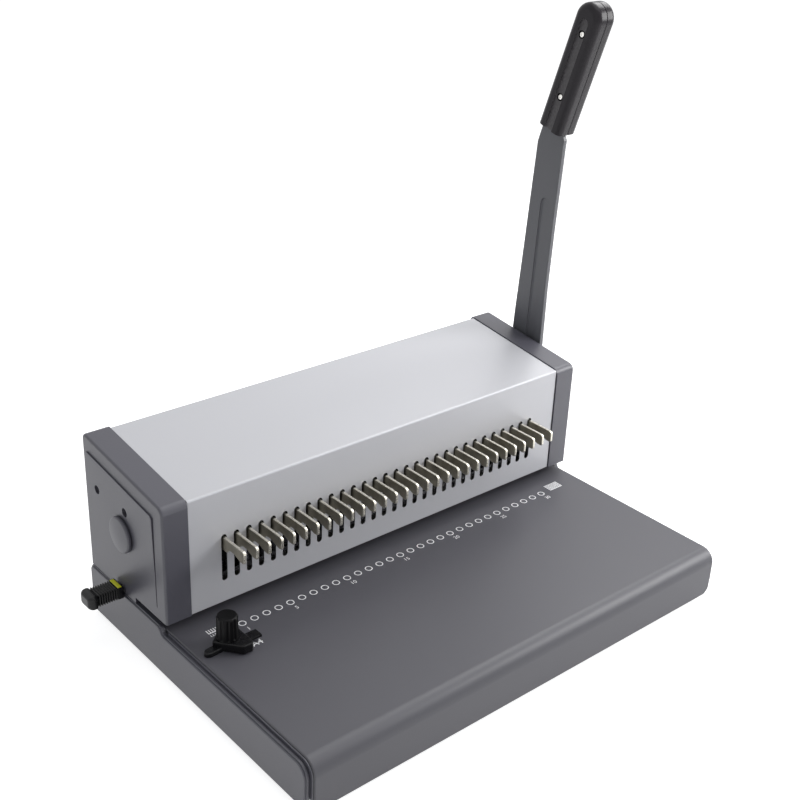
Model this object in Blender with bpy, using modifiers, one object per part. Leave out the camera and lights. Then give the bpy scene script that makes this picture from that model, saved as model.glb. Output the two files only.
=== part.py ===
"""A 30-hole desk punch with a pull lever, and hooks that open a ring comb.

+X runs right along the row of holes, +Y to the back and +Z up. The origin is on the desk,
below the middle of the machine. Lengths are in metres, written as millimetres times MM.
"""

from math import atan2, cos, degrees, hypot, pi, radians, sin

import bmesh
import bpy
from mathutils import Matrix, Vector

MM = 0.001

# Driving sizes of the whole machine
HOLES = 30
PITCH = 9.5 * MM
PLATEN_Z = 37.5 * MM
BASE_BOTTOM = 2.4 * MM
BASE_HALF_X = 183.4 * MM
BASE_FRONT = -125.0 * MM
BASE_REAR = 125.0 * MM
PANEL_Y = 27.5 * MM
FRONT_BEND = 10.5 * MM
RAMP_Y = PANEL_Y + 2.0 * MM
GAP = 0.3 * MM

# Cheeks at the two ends of the punch head
CHEEK_IN = 163.6 * MM
CHEEK_OUT = 182.2 * MM
CHEEK_FRONT = 26.5 * MM
CHEEK_REAR = 125.0 * MM
CHEEK_TOP_FRONT = 128.4 * MM
TOP_RISE = 0.125
RIM_Z = PLATEN_Z + 2.3 * MM
CHEEK_LIP_Z = PLATEN_Z + 6.8 * MM
CHEEK_LIP_Y = PANEL_Y + 38.0 * MM
CHEEK_SCREWS = ((PANEL_Y + 80.0 * MM, PLATEN_Z + 68.3 * MM), (PANEL_Y + 44.2 * MM, PLATEN_Z + 68.3 * MM))

# Main shaft, which carries the lever and the cams
SHAFT_Y = 76.5 * MM
SHAFT_Z = 87.5 * MM
SHAFT_R = 8.0 * MM
SHAFT_NECK_R = 6.0 * MM
CAP_NECK_R = 9.4 * MM
LEVER_SWING = radians(80)

# Travel of the driven bars for each radian of lever swing
PUNCH_RATE = 7.16 * MM
HOOK_RATE = 15.75 * MM
PUNCH_Y = SHAFT_Y - 8.0 * MM
PIN_R = 2.75 * MM

# Steel side frames
FRAME_IN = 157.0 * MM
FRAME_OUT = 160.5 * MM
INNER_HALF_X = FRAME_IN - GAP
TIE_BAR_TOP = 49.5 * MM
UPPER_TIE_BOTTOM = 112.0 * MM

# Lever arm, just outside the right cheek
ARM_IN = 184.4 * MM
ARM_OUT = 188.4 * MM
GRIP_Y = PANEL_Y + 43.8 * MM
GRIP_Z = PLATEN_Z + 265.0 * MM
GRIP_LEAN = radians(17.6)
GRIP_LENGTH = 97.3 * MM
GRIP_WIDTH = 23.0 * MM
GRIP_SCREWS = (26.0 * MM, 74.5 * MM)
END_X = 208.8 * MM

# Margin rod, which leaves through the left cheek
ROD_Y = PANEL_Y + 58.0 * MM
ROD_Z = PLATEN_Z + 4.6 * MM
ROD_R = 2.0 * MM
MARGIN_PULL = 5.0 * MM
STOP_TRAVEL = 3.0 * MM
STOP_PINS = (-110.0 * MM, 0.0, 110.0 * MM)

# Chip tray, which slides in over the floor of the pan
TRAY_HALF_X = 149.8 * MM
TRAY_LOW = BASE_BOTTOM + 1.9 * MM
TRAY_TOP = 26.2 * MM

# Edge guide and its clamp
CLAMP_X = -158.0 * MM
CLAMP_Y = PANEL_Y - 33.0 * MM

for old in list(bpy.data.objects):
    bpy.data.objects.remove(old, do_unlink=True)

PARTS = bpy.data.collections.new("multi_hole_punch")
CUTTERS = bpy.data.collections.new("cutters")
bpy.context.scene.collection.children.link(PARTS)
bpy.context.scene.collection.children.link(CUTTERS)


def finish(name, colour, roughness, metallic=0.0):
    material = bpy.data.materials.new(name)
    material.use_nodes = True
    shader = material.node_tree.nodes["Principled BSDF"]
    shader.inputs["Base Color"].default_value = (*colour, 1.0)
    shader.inputs["Roughness"].default_value = roughness
    shader.inputs["Metallic"].default_value = metallic
    return material


GREY_PAINT = finish("grey_paint", (0.125, 0.125, 0.135), 0.45)
GREY_PLASTIC = finish("grey_plastic", (0.13, 0.13, 0.145), 0.5)
SILVER_PAINT = finish("silver_paint", (0.62, 0.63, 0.66), 0.35, 0.3)
NICKEL = finish("nickel_plate", (0.55, 0.52, 0.45), 0.3, 1.0)
BARE_STEEL = finish("bare_steel", (0.5, 0.5, 0.5), 0.35, 1.0)
TOOL_STEEL = finish("tool_steel", (0.35, 0.35, 0.37), 0.3, 1.0)
LEVER_PAINT = finish("lever_paint", (0.12, 0.122, 0.135), 0.45)
BLACK_PLASTIC = finish("black_plastic", (0.012, 0.012, 0.012), 0.4)
GRIP_PLASTIC = finish("grip_plastic", (0.03, 0.028, 0.03), 0.35)
BLACK_STEEL = finish("black_steel", (0.02, 0.02, 0.021), 0.45, 1.0)
YELLOW_PLASTIC = finish("yellow_plastic", (0.75, 0.75, 0.03), 0.4)
RUBBER = finish("black_rubber", (0.015, 0.015, 0.015), 0.8)
BRASS = finish("bush_brass", (0.6, 0.45, 0.2), 0.35, 1.0)


def body_axis(name, location):
    """An empty on a moving body's joint axis."""
    empty = bpy.data.objects.new(name, None)
    empty.location = location
    PARTS.objects.link(empty)
    return empty


LEVER_BODY = body_axis("lever_axis", (0, SHAFT_Y, SHAFT_Z))
PUNCH_BODY = body_axis("punch_travel", (0, PUNCH_Y, PLATEN_Z))
HOOK_BODY = body_axis("hook_travel", (0, PANEL_Y, PLATEN_Z))
MARGIN_BODY = body_axis("margin_travel", (0, ROD_Y, ROD_Z))
STOP_BODY = body_axis("stop_travel", (0, ROD_Y, PLATEN_Z))
GUIDE_BODY = body_axis("guide_travel", (CLAMP_X, CLAMP_Y, PLATEN_Z))
CLAMP_BODY = body_axis("clamp_axis", (CLAMP_X, CLAMP_Y, PLATEN_Z))
TRAY_BODY = body_axis("tray_travel", (0, BASE_REAR, BASE_BOTTOM))


def place(obj, material=None, body=None):
    """Give a finished piece its material, and hang it on its body's empty."""
    if material is not None:
        obj.data.materials.clear()
        obj.data.materials.append(material)
    if body is not None:
        obj.parent = body
        obj.matrix_parent_inverse = Matrix.Translation(-body.location)
    return obj


def link(name, mesh, matrix=None):
    obj = bpy.data.objects.new(name, mesh)
    PARTS.objects.link(obj)
    if matrix is not None:
        obj.matrix_world = matrix
    return obj


def box(name, x, y, z):
    """A box between two limits on each axis."""
    low = Vector((x[0], y[0], z[0]))
    high = Vector((x[1], y[1], z[1]))
    bm = bmesh.new()
    bmesh.ops.create_cube(bm, size=1.0)
    bmesh.ops.scale(bm, vec=high - low, verts=bm.verts)
    mesh = bpy.data.meshes.new(name)
    bm.to_mesh(mesh)
    bm.free()
    return link(name, mesh, Matrix.Translation((low + high) / 2))


AXIS_TURN = {
    "X": Matrix.Rotation(pi / 2, 4, "Y"),
    "Y": Matrix.Rotation(-pi / 2, 4, "X"),
    "Z": Matrix.Identity(4),
}


def rod(name, axis, centre, span, radius, sides=16):
    """A round bar along an axis, from span[0] to span[1]; centre is its place on the other two."""
    bm = bmesh.new()
    length = span[1] - span[0]
    bmesh.ops.create_cone(bm, cap_ends=True, segments=sides, radius1=radius, radius2=radius, depth=length)
    mesh = bpy.data.meshes.new(name)
    bm.to_mesh(mesh)
    bm.free()
    mesh.shade_smooth()
    mesh.set_sharp_from_angle(angle=radians(35))
    middle = (span[0] + span[1]) / 2
    spot = {"X": (middle, centre[0], centre[1]),
            "Y": (centre[0], middle, centre[1]),
            "Z": (centre[0], centre[1], middle)}[axis]
    return link(name, mesh, Matrix.Translation(spot) @ AXIS_TURN[axis])


def arc(centre, radius, start, end, count):
    """Points on an arc, angles in degrees."""
    points = []
    for step in range(count + 1):
        angle = radians(start + (end - start) * step / count)
        points.append((centre[0] + radius * cos(angle), centre[1] + radius * sin(angle)))
    return points


def circle(centre, radius, sides):
    return arc(centre, radius, 0, 360, sides)[:-1]


def stadium(start, end, half_width, count=4):
    """A slot's outline: two half circles about its two ends."""
    heading = degrees(atan2(end[1] - start[1], end[0] - start[0]))
    first = arc(end, half_width, heading - 90, heading + 90, count)
    second = arc(start, half_width, heading + 90, heading + 270, count)
    return first + second


# Each plane's matrix takes an outline's two coordinates to their world axes
PLANE = {
    "XY": Matrix.Identity(4),
    "YZ": Matrix(((0, 0, 1, 0), (1, 0, 0, 0), (0, 1, 0, 0), (0, 0, 0, 1))),
    "XZ": Matrix(((1, 0, 0, 0), (0, 0, -1, 0), (0, 1, 0, 0), (0, 0, 0, 1))),
}


def mesh_from_curve(name, curve, matrix):
    """Turn a curve into a closed mesh object, its caps welded and free of needless edges."""
    guide = bpy.data.objects.new(name + "_curve", curve)
    PARTS.objects.link(guide)
    guide.matrix_world = matrix
    bpy.context.view_layer.update()
    evaluated = guide.evaluated_get(bpy.context.evaluated_depsgraph_get())
    mesh = bpy.data.meshes.new_from_object(evaluated)
    bm = bmesh.new()
    bm.from_mesh(mesh)
    bmesh.ops.remove_doubles(bm, verts=bm.verts, dist=0.00001)
    bmesh.ops.dissolve_limit(bm, angle_limit=radians(0.5), verts=bm.verts, edges=bm.edges)
    bmesh.ops.recalc_face_normals(bm, faces=bm.faces)
    bm.to_mesh(mesh)
    bm.free()
    mesh.name = name
    obj = link(name, mesh, matrix)
    bpy.data.objects.remove(guide)
    bpy.data.curves.remove(curve)
    return obj


def plate(name, outlines, plane, span):
    """A flat piece: a filled outline, with any holes, from span[0] to span[1] across its plane."""
    curve = bpy.data.curves.new(name, "CURVE")
    curve.dimensions = "2D"
    curve.fill_mode = "BOTH"
    curve.extrude = (span[1] - span[0]) / 2
    for outline in outlines:
        spline = curve.splines.new("POLY")
        spline.points.add(len(outline) - 1)
        spline.use_cyclic_u = True
        for point, (a, b) in zip(spline.points, outline):
            point.co = (a, b, 0, 1)
    middle = (span[0] + span[1]) / 2
    shift = {"XY": (0, 0, middle), "YZ": (middle, 0, 0), "XZ": (0, middle, 0)}[plane]
    return mesh_from_curve(name, curve, Matrix.Translation(shift) @ PLANE[plane])


def turned(name, profile, centre, sides=24):
    """A turned piece on an X axis: the profile is (x, radius), its outer side running to the right."""
    mesh = bpy.data.meshes.new(name)
    bm = bmesh.new()
    points = [bm.verts.new((radius, 0, x)) for x, radius in reversed(profile)]
    for first, second in zip(points, points[1:]):
        bm.edges.new((first, second))
    bm.to_mesh(mesh)
    bm.free()
    obj = link(name, mesh, Matrix.Translation((0, centre[0], centre[1])) @ AXIS_TURN["X"])
    screw = obj.modifiers.new("turn", "SCREW")
    screw.steps = sides
    screw.render_steps = sides
    screw.use_merge_vertices = True
    screw.merge_threshold = 0.00001
    screw.use_smooth_shade = True
    return obj


def boolean(obj, tool, operation):
    """Cut or join with another solid, which moves to the cutters."""
    PARTS.objects.unlink(tool)
    CUTTERS.objects.link(tool)
    tool.name = "cutter_" + tool.name
    tool.hide_render = True
    tool.display_type = "WIRE"
    modifier = obj.modifiers.new("shape", "BOOLEAN")
    modifier.operation = operation
    modifier.solver = "EXACT"
    modifier.object = tool
    return obj


def cut(obj, tool):
    return boolean(obj, tool, "DIFFERENCE")


def join(obj, tool):
    return boolean(obj, tool, "UNION")


def row_of(name, pieces):
    """One object from a row of loose solids, for a union with the strip that carries them."""
    bm = bmesh.new()
    for piece in pieces:
        mesh = piece.data.copy()
        mesh.transform(piece.matrix_world)
        bm.from_mesh(mesh)
        bpy.data.meshes.remove(mesh)
        bpy.data.objects.remove(piece)
    mesh = bpy.data.meshes.new(name)
    bm.to_mesh(mesh)
    bm.free()
    mesh.shade_smooth()
    mesh.set_sharp_from_angle(angle=radians(35))
    return link(name, mesh)


def round_edges(obj, width, segments, wanted):
    """Bevel the edges whose two ends pass the test, which gets world points."""
    mesh = obj.data
    weights = mesh.attributes.new("bevel_weight_edge", "FLOAT", "EDGE")
    for edge in mesh.edges:
        ends = [obj.matrix_world @ mesh.vertices[index].co for index in edge.vertices]
        weights.data[edge.index].value = 1.0 if wanted(*ends) else 0.0
    bevel = obj.modifiers.new("rounding", "BEVEL")
    bevel.limit_method = "WEIGHT"
    bevel.width = width
    bevel.segments = segments
    return obj


def row_x(index):
    """The middle of one hole of the row, counted from 0."""
    return (index - (HOLES - 1) / 2) * PITCH


def both_sides(make):
    """Call a maker for the left side (-1) and the right side (1)."""
    return [make(-1, "left"), make(1, "right")]


def span_on(side, low, high):
    """Limits along X, mirrored for the left side."""
    return (low, high) if side > 0 else (-high, -low)


def folded_sheet(name, outline, half_x, thickness):
    """A sheet bent along its outline in the YZ plane; its thickness goes inside the bends.

    Only the narrow strips of the bends are shaded smooth.
    """
    bm = bmesh.new()
    verts = [bm.verts.new((-half_x, y, z)) for y, z in outline]
    edges = [bm.edges.new(pair) for pair in zip(verts, verts[1:])]
    made = bmesh.ops.extrude_edge_only(bm, edges=edges)
    moved = [item for item in made["geom"] if isinstance(item, bmesh.types.BMVert)]
    bmesh.ops.translate(bm, vec=(2 * half_x, 0, 0), verts=moved)
    bmesh.ops.recalc_face_normals(bm, faces=bm.faces)
    middle = sum((face.calc_center_median() for face in bm.faces), Vector()) / len(bm.faces)
    sample = max(bm.faces, key=lambda face: face.calc_area())
    if sample.normal.dot(sample.calc_center_median() - middle) < 0:
        bmesh.ops.reverse_faces(bm, faces=bm.faces)
    for face in bm.faces:
        face.smooth = face.calc_area() < 2 * half_x * 5 * MM
    mesh = bpy.data.meshes.new(name)
    bm.to_mesh(mesh)
    bm.free()
    obj = link(name, mesh)
    solidify = obj.modifiers.new("sheet", "SOLIDIFY")
    solidify.thickness = thickness
    solidify.offset = -1
    solidify.use_even_offset = True
    return obj


def make_base():
    """Painted platen sheet, bottom pan, side mouldings, back panel and feet."""
    sheet = 1.5 * MM
    platen_half = 179.3 * MM
    platen_rear = 57.6 * MM
    corner = 9.0 * MM

    outline = [(BASE_FRONT, BASE_BOTTOM)]
    outline += arc((BASE_FRONT + FRONT_BEND, PLATEN_Z - FRONT_BEND), FRONT_BEND, 180, 90, 6)
    outline += [(platen_rear, PLATEN_Z)]
    platen = folded_sheet("platen_cover", outline, platen_half, sheet)
    for side in (-1, 1):
        x = side * platen_half
        out_x = x + side * 1.0 * MM
        low = BASE_BOTTOM - 1.0 * MM
        centre = (x - side * corner, BASE_BOTTOM + corner)
        start = 360 if side > 0 else 180
        curve = arc(centre, corner, start, 270, 4)
        shape = [(out_x, low), (out_x, BASE_BOTTOM + corner)] + curve + [(centre[0], low)]
        tool = plate("platen_corner", [shape], "XZ",
                     (BASE_FRONT - 1.0 * MM, BASE_FRONT + FRONT_BEND / 2))
        cut(platen, tool)
    slot_reach = 6.0 * MM
    slot_shape = stadium((CLAMP_X - slot_reach, CLAMP_Y), (CLAMP_X + slot_reach, CLAMP_Y), 2.6 * MM)
    cut(platen, plate("clamp_slot", [slot_shape], "XY", (PLATEN_Z - 5.0 * MM, PLATEN_Z + 5.0 * MM)))
    place(platen, GREY_PAINT)

    wall = 1.5 * MM
    pan_half = platen_half - 0.6 * MM
    pan_front = BASE_FRONT + sheet + 0.5 * MM
    pan_rear = BASE_REAR - 2.4 * MM
    pan_top = 20.0 * MM
    pan_corner = corner - 0.6 * MM

    def pan_line(inset):
        """The pan's section: down one side, across the floor and up the other, drawn in by inset."""
        reach = pan_half - pan_corner
        radius = pan_corner - inset
        middle = BASE_BOTTOM + pan_corner
        return ([(inset - pan_half, pan_top)] + arc((-reach, middle), radius, 180, 270, 4)
                + arc((reach, middle), radius, 270, 360, 4) + [(pan_half - inset, pan_top)])

    pan = plate("base_pan", [pan_line(0) + pan_line(wall)[::-1]], "XZ", (pan_front, pan_rear))
    join(pan, plate("pan_front_wall", [pan_line(0)], "XZ", (pan_front, pan_front + wall)))
    place(pan, GREY_PAINT)

    hole_half = TRAY_HALF_X + 0.5 * MM
    hole_low = TRAY_LOW - GAP
    hole_high = TRAY_TOP + GAP
    panel_hole = [(-hole_half, hole_low), (hole_half, hole_low), (hole_half, hole_high),
                  (-hole_half, hole_high)]
    panel_edge = [(-platen_half, BASE_BOTTOM), (platen_half, BASE_BOTTOM),
                  (platen_half, PLATEN_Z - 0.1 * MM), (-platen_half, PLATEN_Z - 0.1 * MM)]
    rear = plate("rear_panel", [panel_edge, panel_hole], "XZ", (BASE_REAR - 2.0 * MM, BASE_REAR))
    place(rear, GREY_PAINT)

    foot_x = 160.0 * MM
    foot_r = 11.0 * MM
    for x, side_word in ((-foot_x, "left"), (foot_x, "right")):
        for y, end_word in ((BASE_FRONT + 19.0 * MM, "front"), (BASE_REAR - 21.0 * MM, "rear")):
            foot = rod(f"foot_{end_word}_{side_word}", "Z", (x, y), (0, BASE_BOTTOM - GAP), foot_r)
            place(foot, RUBBER)


def trim_outline(inset):
    """The side view of a side moulding, its top drawn down by inset."""
    ledge_z = PLATEN_Z - 2.7 * MM - inset
    rim_z = RIM_Z - inset
    front = BASE_FRONT + 3.0 * MM + inset
    low = BASE_BOTTOM + 1.3 * MM
    foot = 10.0 * MM
    bend = 9.0 * MM
    ramp_r = 4.45 * MM
    ramp_turn = 64.0
    ramp_end = RAMP_Y + 2 * ramp_r * sin(radians(ramp_turn))
    rear_r = 3.0 * MM
    outline = arc((front + foot, low + foot), foot, 270, 180, 4)
    outline += arc((front + bend, ledge_z - bend), bend, 180, 90, 5)
    outline += arc((RAMP_Y, ledge_z + ramp_r), ramp_r, 270, 270 + ramp_turn, 3)
    outline += arc((ramp_end, rim_z - ramp_r), ramp_r, 90 + ramp_turn, 90, 3)[1:]
    outline += arc((BASE_REAR - rear_r, rim_z - rear_r), rear_r, 90, 0, 3)
    return outline + [(BASE_REAR, low)]


def make_side_trim(side, word):
    """A plastic side moulding: lip, channel, ridge and edge beside the platen, and a rim at the cheek."""
    wall_in = 179.6 * MM
    lip_out = wall_in + 0.6 * MM
    ridge_in = 180.9 * MM
    ridge_out = 182.4 * MM
    trim = plate("side_trim_" + word, [trim_outline(0)], "YZ", span_on(side, ridge_in, ridge_out))
    lap = 0.2 * MM
    join(trim, plate("trim_channel", [trim_outline(0.8 * MM)], "YZ", span_on(side, wall_in, ridge_in + lap)))
    edge = plate("trim_edge", [trim_outline(1.1 * MM)], "YZ", span_on(side, ridge_out - lap, BASE_HALF_X))
    edge_x = BASE_HALF_X - 0.1 * MM
    join(trim, round_edges(edge, 0.8 * MM, 2, lambda a, b: min(abs(a.x), abs(b.x)) > edge_x))
    lip_z = (PLATEN_Z - 6.0 * MM, PLATEN_Z - 0.9 * MM)
    join(trim, box("trim_lip", span_on(side, wall_in, lip_out), (BASE_FRONT + FRONT_BEND, RAMP_Y), lip_z))
    shelf_y = (PANEL_Y + 10.5 * MM, BASE_REAR - 3.0 * MM)
    join(trim, box("trim_shelf", span_on(side, CHEEK_IN + 0.2 * MM, ridge_in + 0.5 * MM), shelf_y,
                   (PLATEN_Z + GAP, RIM_Z - 0.05 * MM)))
    return place(trim, GREY_PLASTIC)


def cheek_outline(inset, lip_inset):
    """The side shape of the punch head, drawn in by inset; its top rises to the back."""
    front = CHEEK_FRONT + inset
    rear = CHEEK_REAR - inset
    slope = atan2(TOP_RISE, 1.0)

    def top_z(y):
        return CHEEK_TOP_FRONT + TOP_RISE * (y - CHEEK_FRONT) - inset / cos(slope)

    front_r = max(5.4 * MM - inset, 1.0 * MM)
    rear_r = max(3.6 * MM - inset, 1.0 * MM)
    tilt = degrees(slope)
    front_y = front + front_r
    front_centre = (front_y, top_z(front_y) - front_r / cos(slope))
    rear_y = rear - rear_r
    rear_centre = (rear_y, top_z(rear_y) - rear_r / cos(slope))
    points = [(rear, RIM_Z + GAP + lip_inset)]
    points += arc(rear_centre, rear_r, 0, 90 + tilt, 5)
    points += arc(front_centre, front_r, 90 + tilt, 180, 4)
    points += [(front, CHEEK_LIP_Z + lip_inset)]
    lip_y = CHEEK_LIP_Y + inset
    points += [(lip_y, CHEEK_LIP_Z + lip_inset), (lip_y, RIM_Z + GAP + lip_inset)]
    return points


def make_cheek(side, word):
    """A moulded end cap: hollow, with a raised field, two screw bosses and a shaft hole."""
    wall = 3.0 * MM
    field_rise = 1.2 * MM
    cheek = plate("cheek_" + word, [cheek_outline(0, 0)], "YZ", span_on(side, CHEEK_IN, CHEEK_OUT))
    edge_x = CHEEK_OUT - 0.1 * MM
    round_edges(cheek, 1.6 * MM, 2, lambda a, b: min(abs(a.x), abs(b.x)) > edge_x
                and max(a.z, b.z) > CHEEK_LIP_Z + 0.1 * MM)
    cavity = plate("cheek_cavity", [cheek_outline(wall, wall)], "YZ",
                   span_on(side, CHEEK_IN - 2.0 * MM, CHEEK_OUT - wall))
    cut(cheek, cavity)

    field_front = PANEL_Y + 10.4 * MM
    field_rear = CHEEK_REAR - 4.5 * MM
    field_low = PLATEN_Z + 15.0 * MM
    drop = 10.8 * MM
    top_front = CHEEK_TOP_FRONT + TOP_RISE * (field_front - CHEEK_FRONT) - drop
    top_rear = CHEEK_TOP_FRONT + TOP_RISE * (field_rear - CHEEK_FRONT) - drop
    shape = [(field_front, field_low), (field_rear, field_low), (field_rear, top_rear),
             (field_front, top_front)]
    field = plate("cheek_field", [shape], "YZ",
                  span_on(side, CHEEK_OUT - 1.0 * MM, CHEEK_OUT + field_rise))
    for vertex in field.data.vertices:
        spot = field.matrix_world @ vertex.co
        if abs(spot.x) > CHEEK_OUT:
            fall = (top_front - spot.z) / (top_front - field_low)
            spot.x -= side * min(max(fall, 0.0), 1.0) * (field_rise + 0.05 * MM)
            vertex.co = field.matrix_world.inverted() @ spot
    join(cheek, field)
    groove_wide = 0.8 * MM
    groove_deep = 0.7 * MM
    cut(cheek, box("field_groove", span_on(side, CHEEK_OUT - groove_deep, CHEEK_OUT + 2 * field_rise),
                   (field_front - groove_wide, field_front), (field_low, top_front)))

    screw_floor = CHEEK_OUT - 4.7 * MM
    boss_r = 5.4 * MM
    counterbore_r = 3.1 * MM
    screw_hole_r = 1.8 * MM
    for spot in CHEEK_SCREWS:
        join(cheek, rod("boss", "X", spot, span_on(side, CHEEK_IN, CHEEK_OUT - 1.5 * MM), boss_r, 12))
        cut(cheek, rod("counterbore", "X", spot, span_on(side, screw_floor, CHEEK_OUT + 3.0 * MM),
                       counterbore_r, 12))
        cut(cheek, rod("screw_hole", "X", spot, span_on(side, CHEEK_IN - 2.0 * MM, screw_floor + 1.0 * MM),
                       screw_hole_r, 8))
    hole_r = CAP_NECK_R + 0.4 * MM if side < 0 else SHAFT_R + 1.0 * MM
    cut(cheek, rod("shaft_hole", "X", (SHAFT_Y, SHAFT_Z),
                   span_on(side, CHEEK_OUT - 5.0 * MM, CHEEK_OUT + 3.0 * MM), hole_r, 20))
    if side < 0:
        notch_half = ROD_R + 0.8 * MM
        cut(cheek, box("rod_notch", (-CHEEK_OUT - 3.0 * MM, 1.0 * MM - CHEEK_IN),
                       (ROD_Y - notch_half, ROD_Y + notch_half), (RIM_Z - 2.0 * MM, ROD_Z + notch_half)))
    return place(cheek, GREY_PLASTIC)


def make_cheek_fittings():
    """Cheek screws in their counterbores, and the disc over the shaft's left end."""
    head_seat = CHEEK_OUT - 4.4 * MM
    head_r = 2.7 * MM
    head_thick = 2.0 * MM
    shank_r = 1.4 * MM
    for side, side_word in ((-1, "left"), (1, "right")):
        for spot, end_word in zip(CHEEK_SCREWS, ("rear", "front")):
            screw = rod(f"cheek_screw_{end_word}_{side_word}", "X", spot,
                        span_on(side, head_seat, head_seat + head_thick), head_r, 10)
            shank = span_on(side, FRAME_OUT + GAP, head_seat + 0.7 * MM)
            join(screw, rod("shank", "X", spot, shank, shank_r, 8))
            place(screw, BARE_STEEL)

    face = CHEEK_OUT + 4.4 * MM
    seat = CHEEK_OUT + 1.4 * MM
    neck_end = CHEEK_OUT - 3.0 * MM
    disc_r = 12.5 * MM
    profile = [(-face, 0), (-face, disc_r - 1.7 * MM), (0.5 * MM - face, disc_r - 0.5 * MM),
               (1.2 * MM - face, disc_r), (-seat, disc_r), (-seat, CAP_NECK_R), (-neck_end, CAP_NECK_R),
               (-neck_end, 0)]
    place(turned("shaft_end_cap", profile, (SHAFT_Y, SHAFT_Z)), GREY_PLASTIC)


def make_top_cover():
    """The silver sheet round the punch head, with a slot for each hook."""
    sheet = 1.0 * MM
    bend = 2.0 * MM
    rear = CHEEK_REAR - 2.5 * MM
    below = 0.8 * MM
    tilt = degrees(atan2(TOP_RISE, 1.0))

    def top_z(y):
        return CHEEK_TOP_FRONT - below + TOP_RISE * (y - CHEEK_FRONT)

    front_y = PANEL_Y + bend
    rear_y = rear - bend
    rise = bend / cos(radians(tilt))
    outline = [(PANEL_Y, CHEEK_LIP_Z)]
    outline += arc((front_y, top_z(front_y) - rise), bend, 180, 90 + tilt, 4)
    outline += arc((rear_y, top_z(rear_y) - rise), bend, 90 + tilt, 0, 4)
    outline += [(rear, PLATEN_Z + 0.5 * MM)]
    cover = folded_sheet("top_cover", outline, CHEEK_IN - GAP, sheet)
    half_slot = 2.0 * MM
    low = PLATEN_Z + 22.9 * MM + half_slot
    high = PLATEN_Z + 57.5 * MM - half_slot
    slots = [stadium((row_x(i), low), (row_x(i), high), half_slot, 4) for i in range(HOLES)]
    cut(cover, plate("hook_slots", slots, "XZ", (PANEL_Y - 3.0 * MM, PANEL_Y + 4.0 * MM)))
    return place(cover, SILVER_PAINT)


def make_frame():
    """Side frames, tie bars and shaft bushes."""
    foot = BASE_BOTTOM + 1.5 * MM + GAP
    foot_front = 64.0 * MM
    head_front = 34.0 * MM
    throat = PLATEN_Z + 7.3 * MM
    rear = 118.0 * MM
    top_front = 119.0 * MM
    top_rear = 124.0 * MM
    chamfer = 6.0 * MM
    bush_hole = 12.3 * MM
    for side, word in ((-1, "left"), (1, "right")):
        outline = [(foot_front, foot), (rear, foot), (rear, top_rear - chamfer), (rear - chamfer, top_rear),
                   (head_front + chamfer, top_front), (head_front, top_front - chamfer),
                   (head_front, throat), (foot_front, throat)]
        holes = [circle((SHAFT_Y, SHAFT_Z), bush_hole, 20),
                 circle((ROD_Y, ROD_Z), ROD_R + 0.4 * MM, 10)]
        frame = plate("frame_plate_" + word, [outline] + holes, "YZ", span_on(side, FRAME_IN, FRAME_OUT))
        place(frame, BARE_STEEL)

    width = (-INNER_HALF_X, INNER_HALF_X)
    bar_front = head_front + 2.0 * MM
    lower = box("lower_tie_bar", width, (bar_front, bar_front + 10.0 * MM),
                (TIE_BAR_TOP - 3.5 * MM, TIE_BAR_TOP))
    place(lower, BARE_STEEL)
    upper = box("upper_tie_bar", width, (bar_front, bar_front + 14.0 * MM),
                (UPPER_TIE_BOTTOM, UPPER_TIE_BOTTOM + 4.5 * MM))
    place(upper, BARE_STEEL)

    flange_r = 14.5 * MM
    flange_in = INNER_HALF_X - 2.1 * MM
    sleeve_out = FRAME_OUT + 1.5 * MM
    for side, word in ((-1, "left"), (1, "right")):
        sleeve = rod("shaft_bush_" + word, "X", (SHAFT_Y, SHAFT_Z),
                     span_on(side, flange_in + 0.4 * MM, sleeve_out), bush_hole - GAP, 20)
        flange_span = span_on(side, flange_in, INNER_HALF_X)
        flange = rod("flange", "X", (SHAFT_Y, SHAFT_Z), flange_span, flange_r, 20)
        bore_span = span_on(side, flange_in - 4.6 * MM, sleeve_out + 3.0 * MM)
        bore = rod("bore", "X", (SHAFT_Y, SHAFT_Z), bore_span, SHAFT_R + GAP, 20)
        place(cut(join(sleeve, flange), bore), BRASS)


def pin_row(name, span, radius):
    """One upright cylinder for each punch."""
    return row_of(name, [rod("pin", "Z", (row_x(i), PUNCH_Y), span, radius, 8) for i in range(HOLES)])


THROAT_TOP = PLATEN_Z + 2.5 * MM
GUIDE_TOP = THROAT_TOP + 8.0 * MM
PUNCH_BASE_R = 14.0 * MM
BAR_TOP = SHAFT_Z - PUNCH_BASE_R - GAP
BAR_BOTTOM = GUIDE_TOP + 13.0 * MM
PUNCH_SPRINGS = ((-100.0 * MM, 59.3 * MM), (100.0 * MM, 59.3 * MM))


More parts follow.
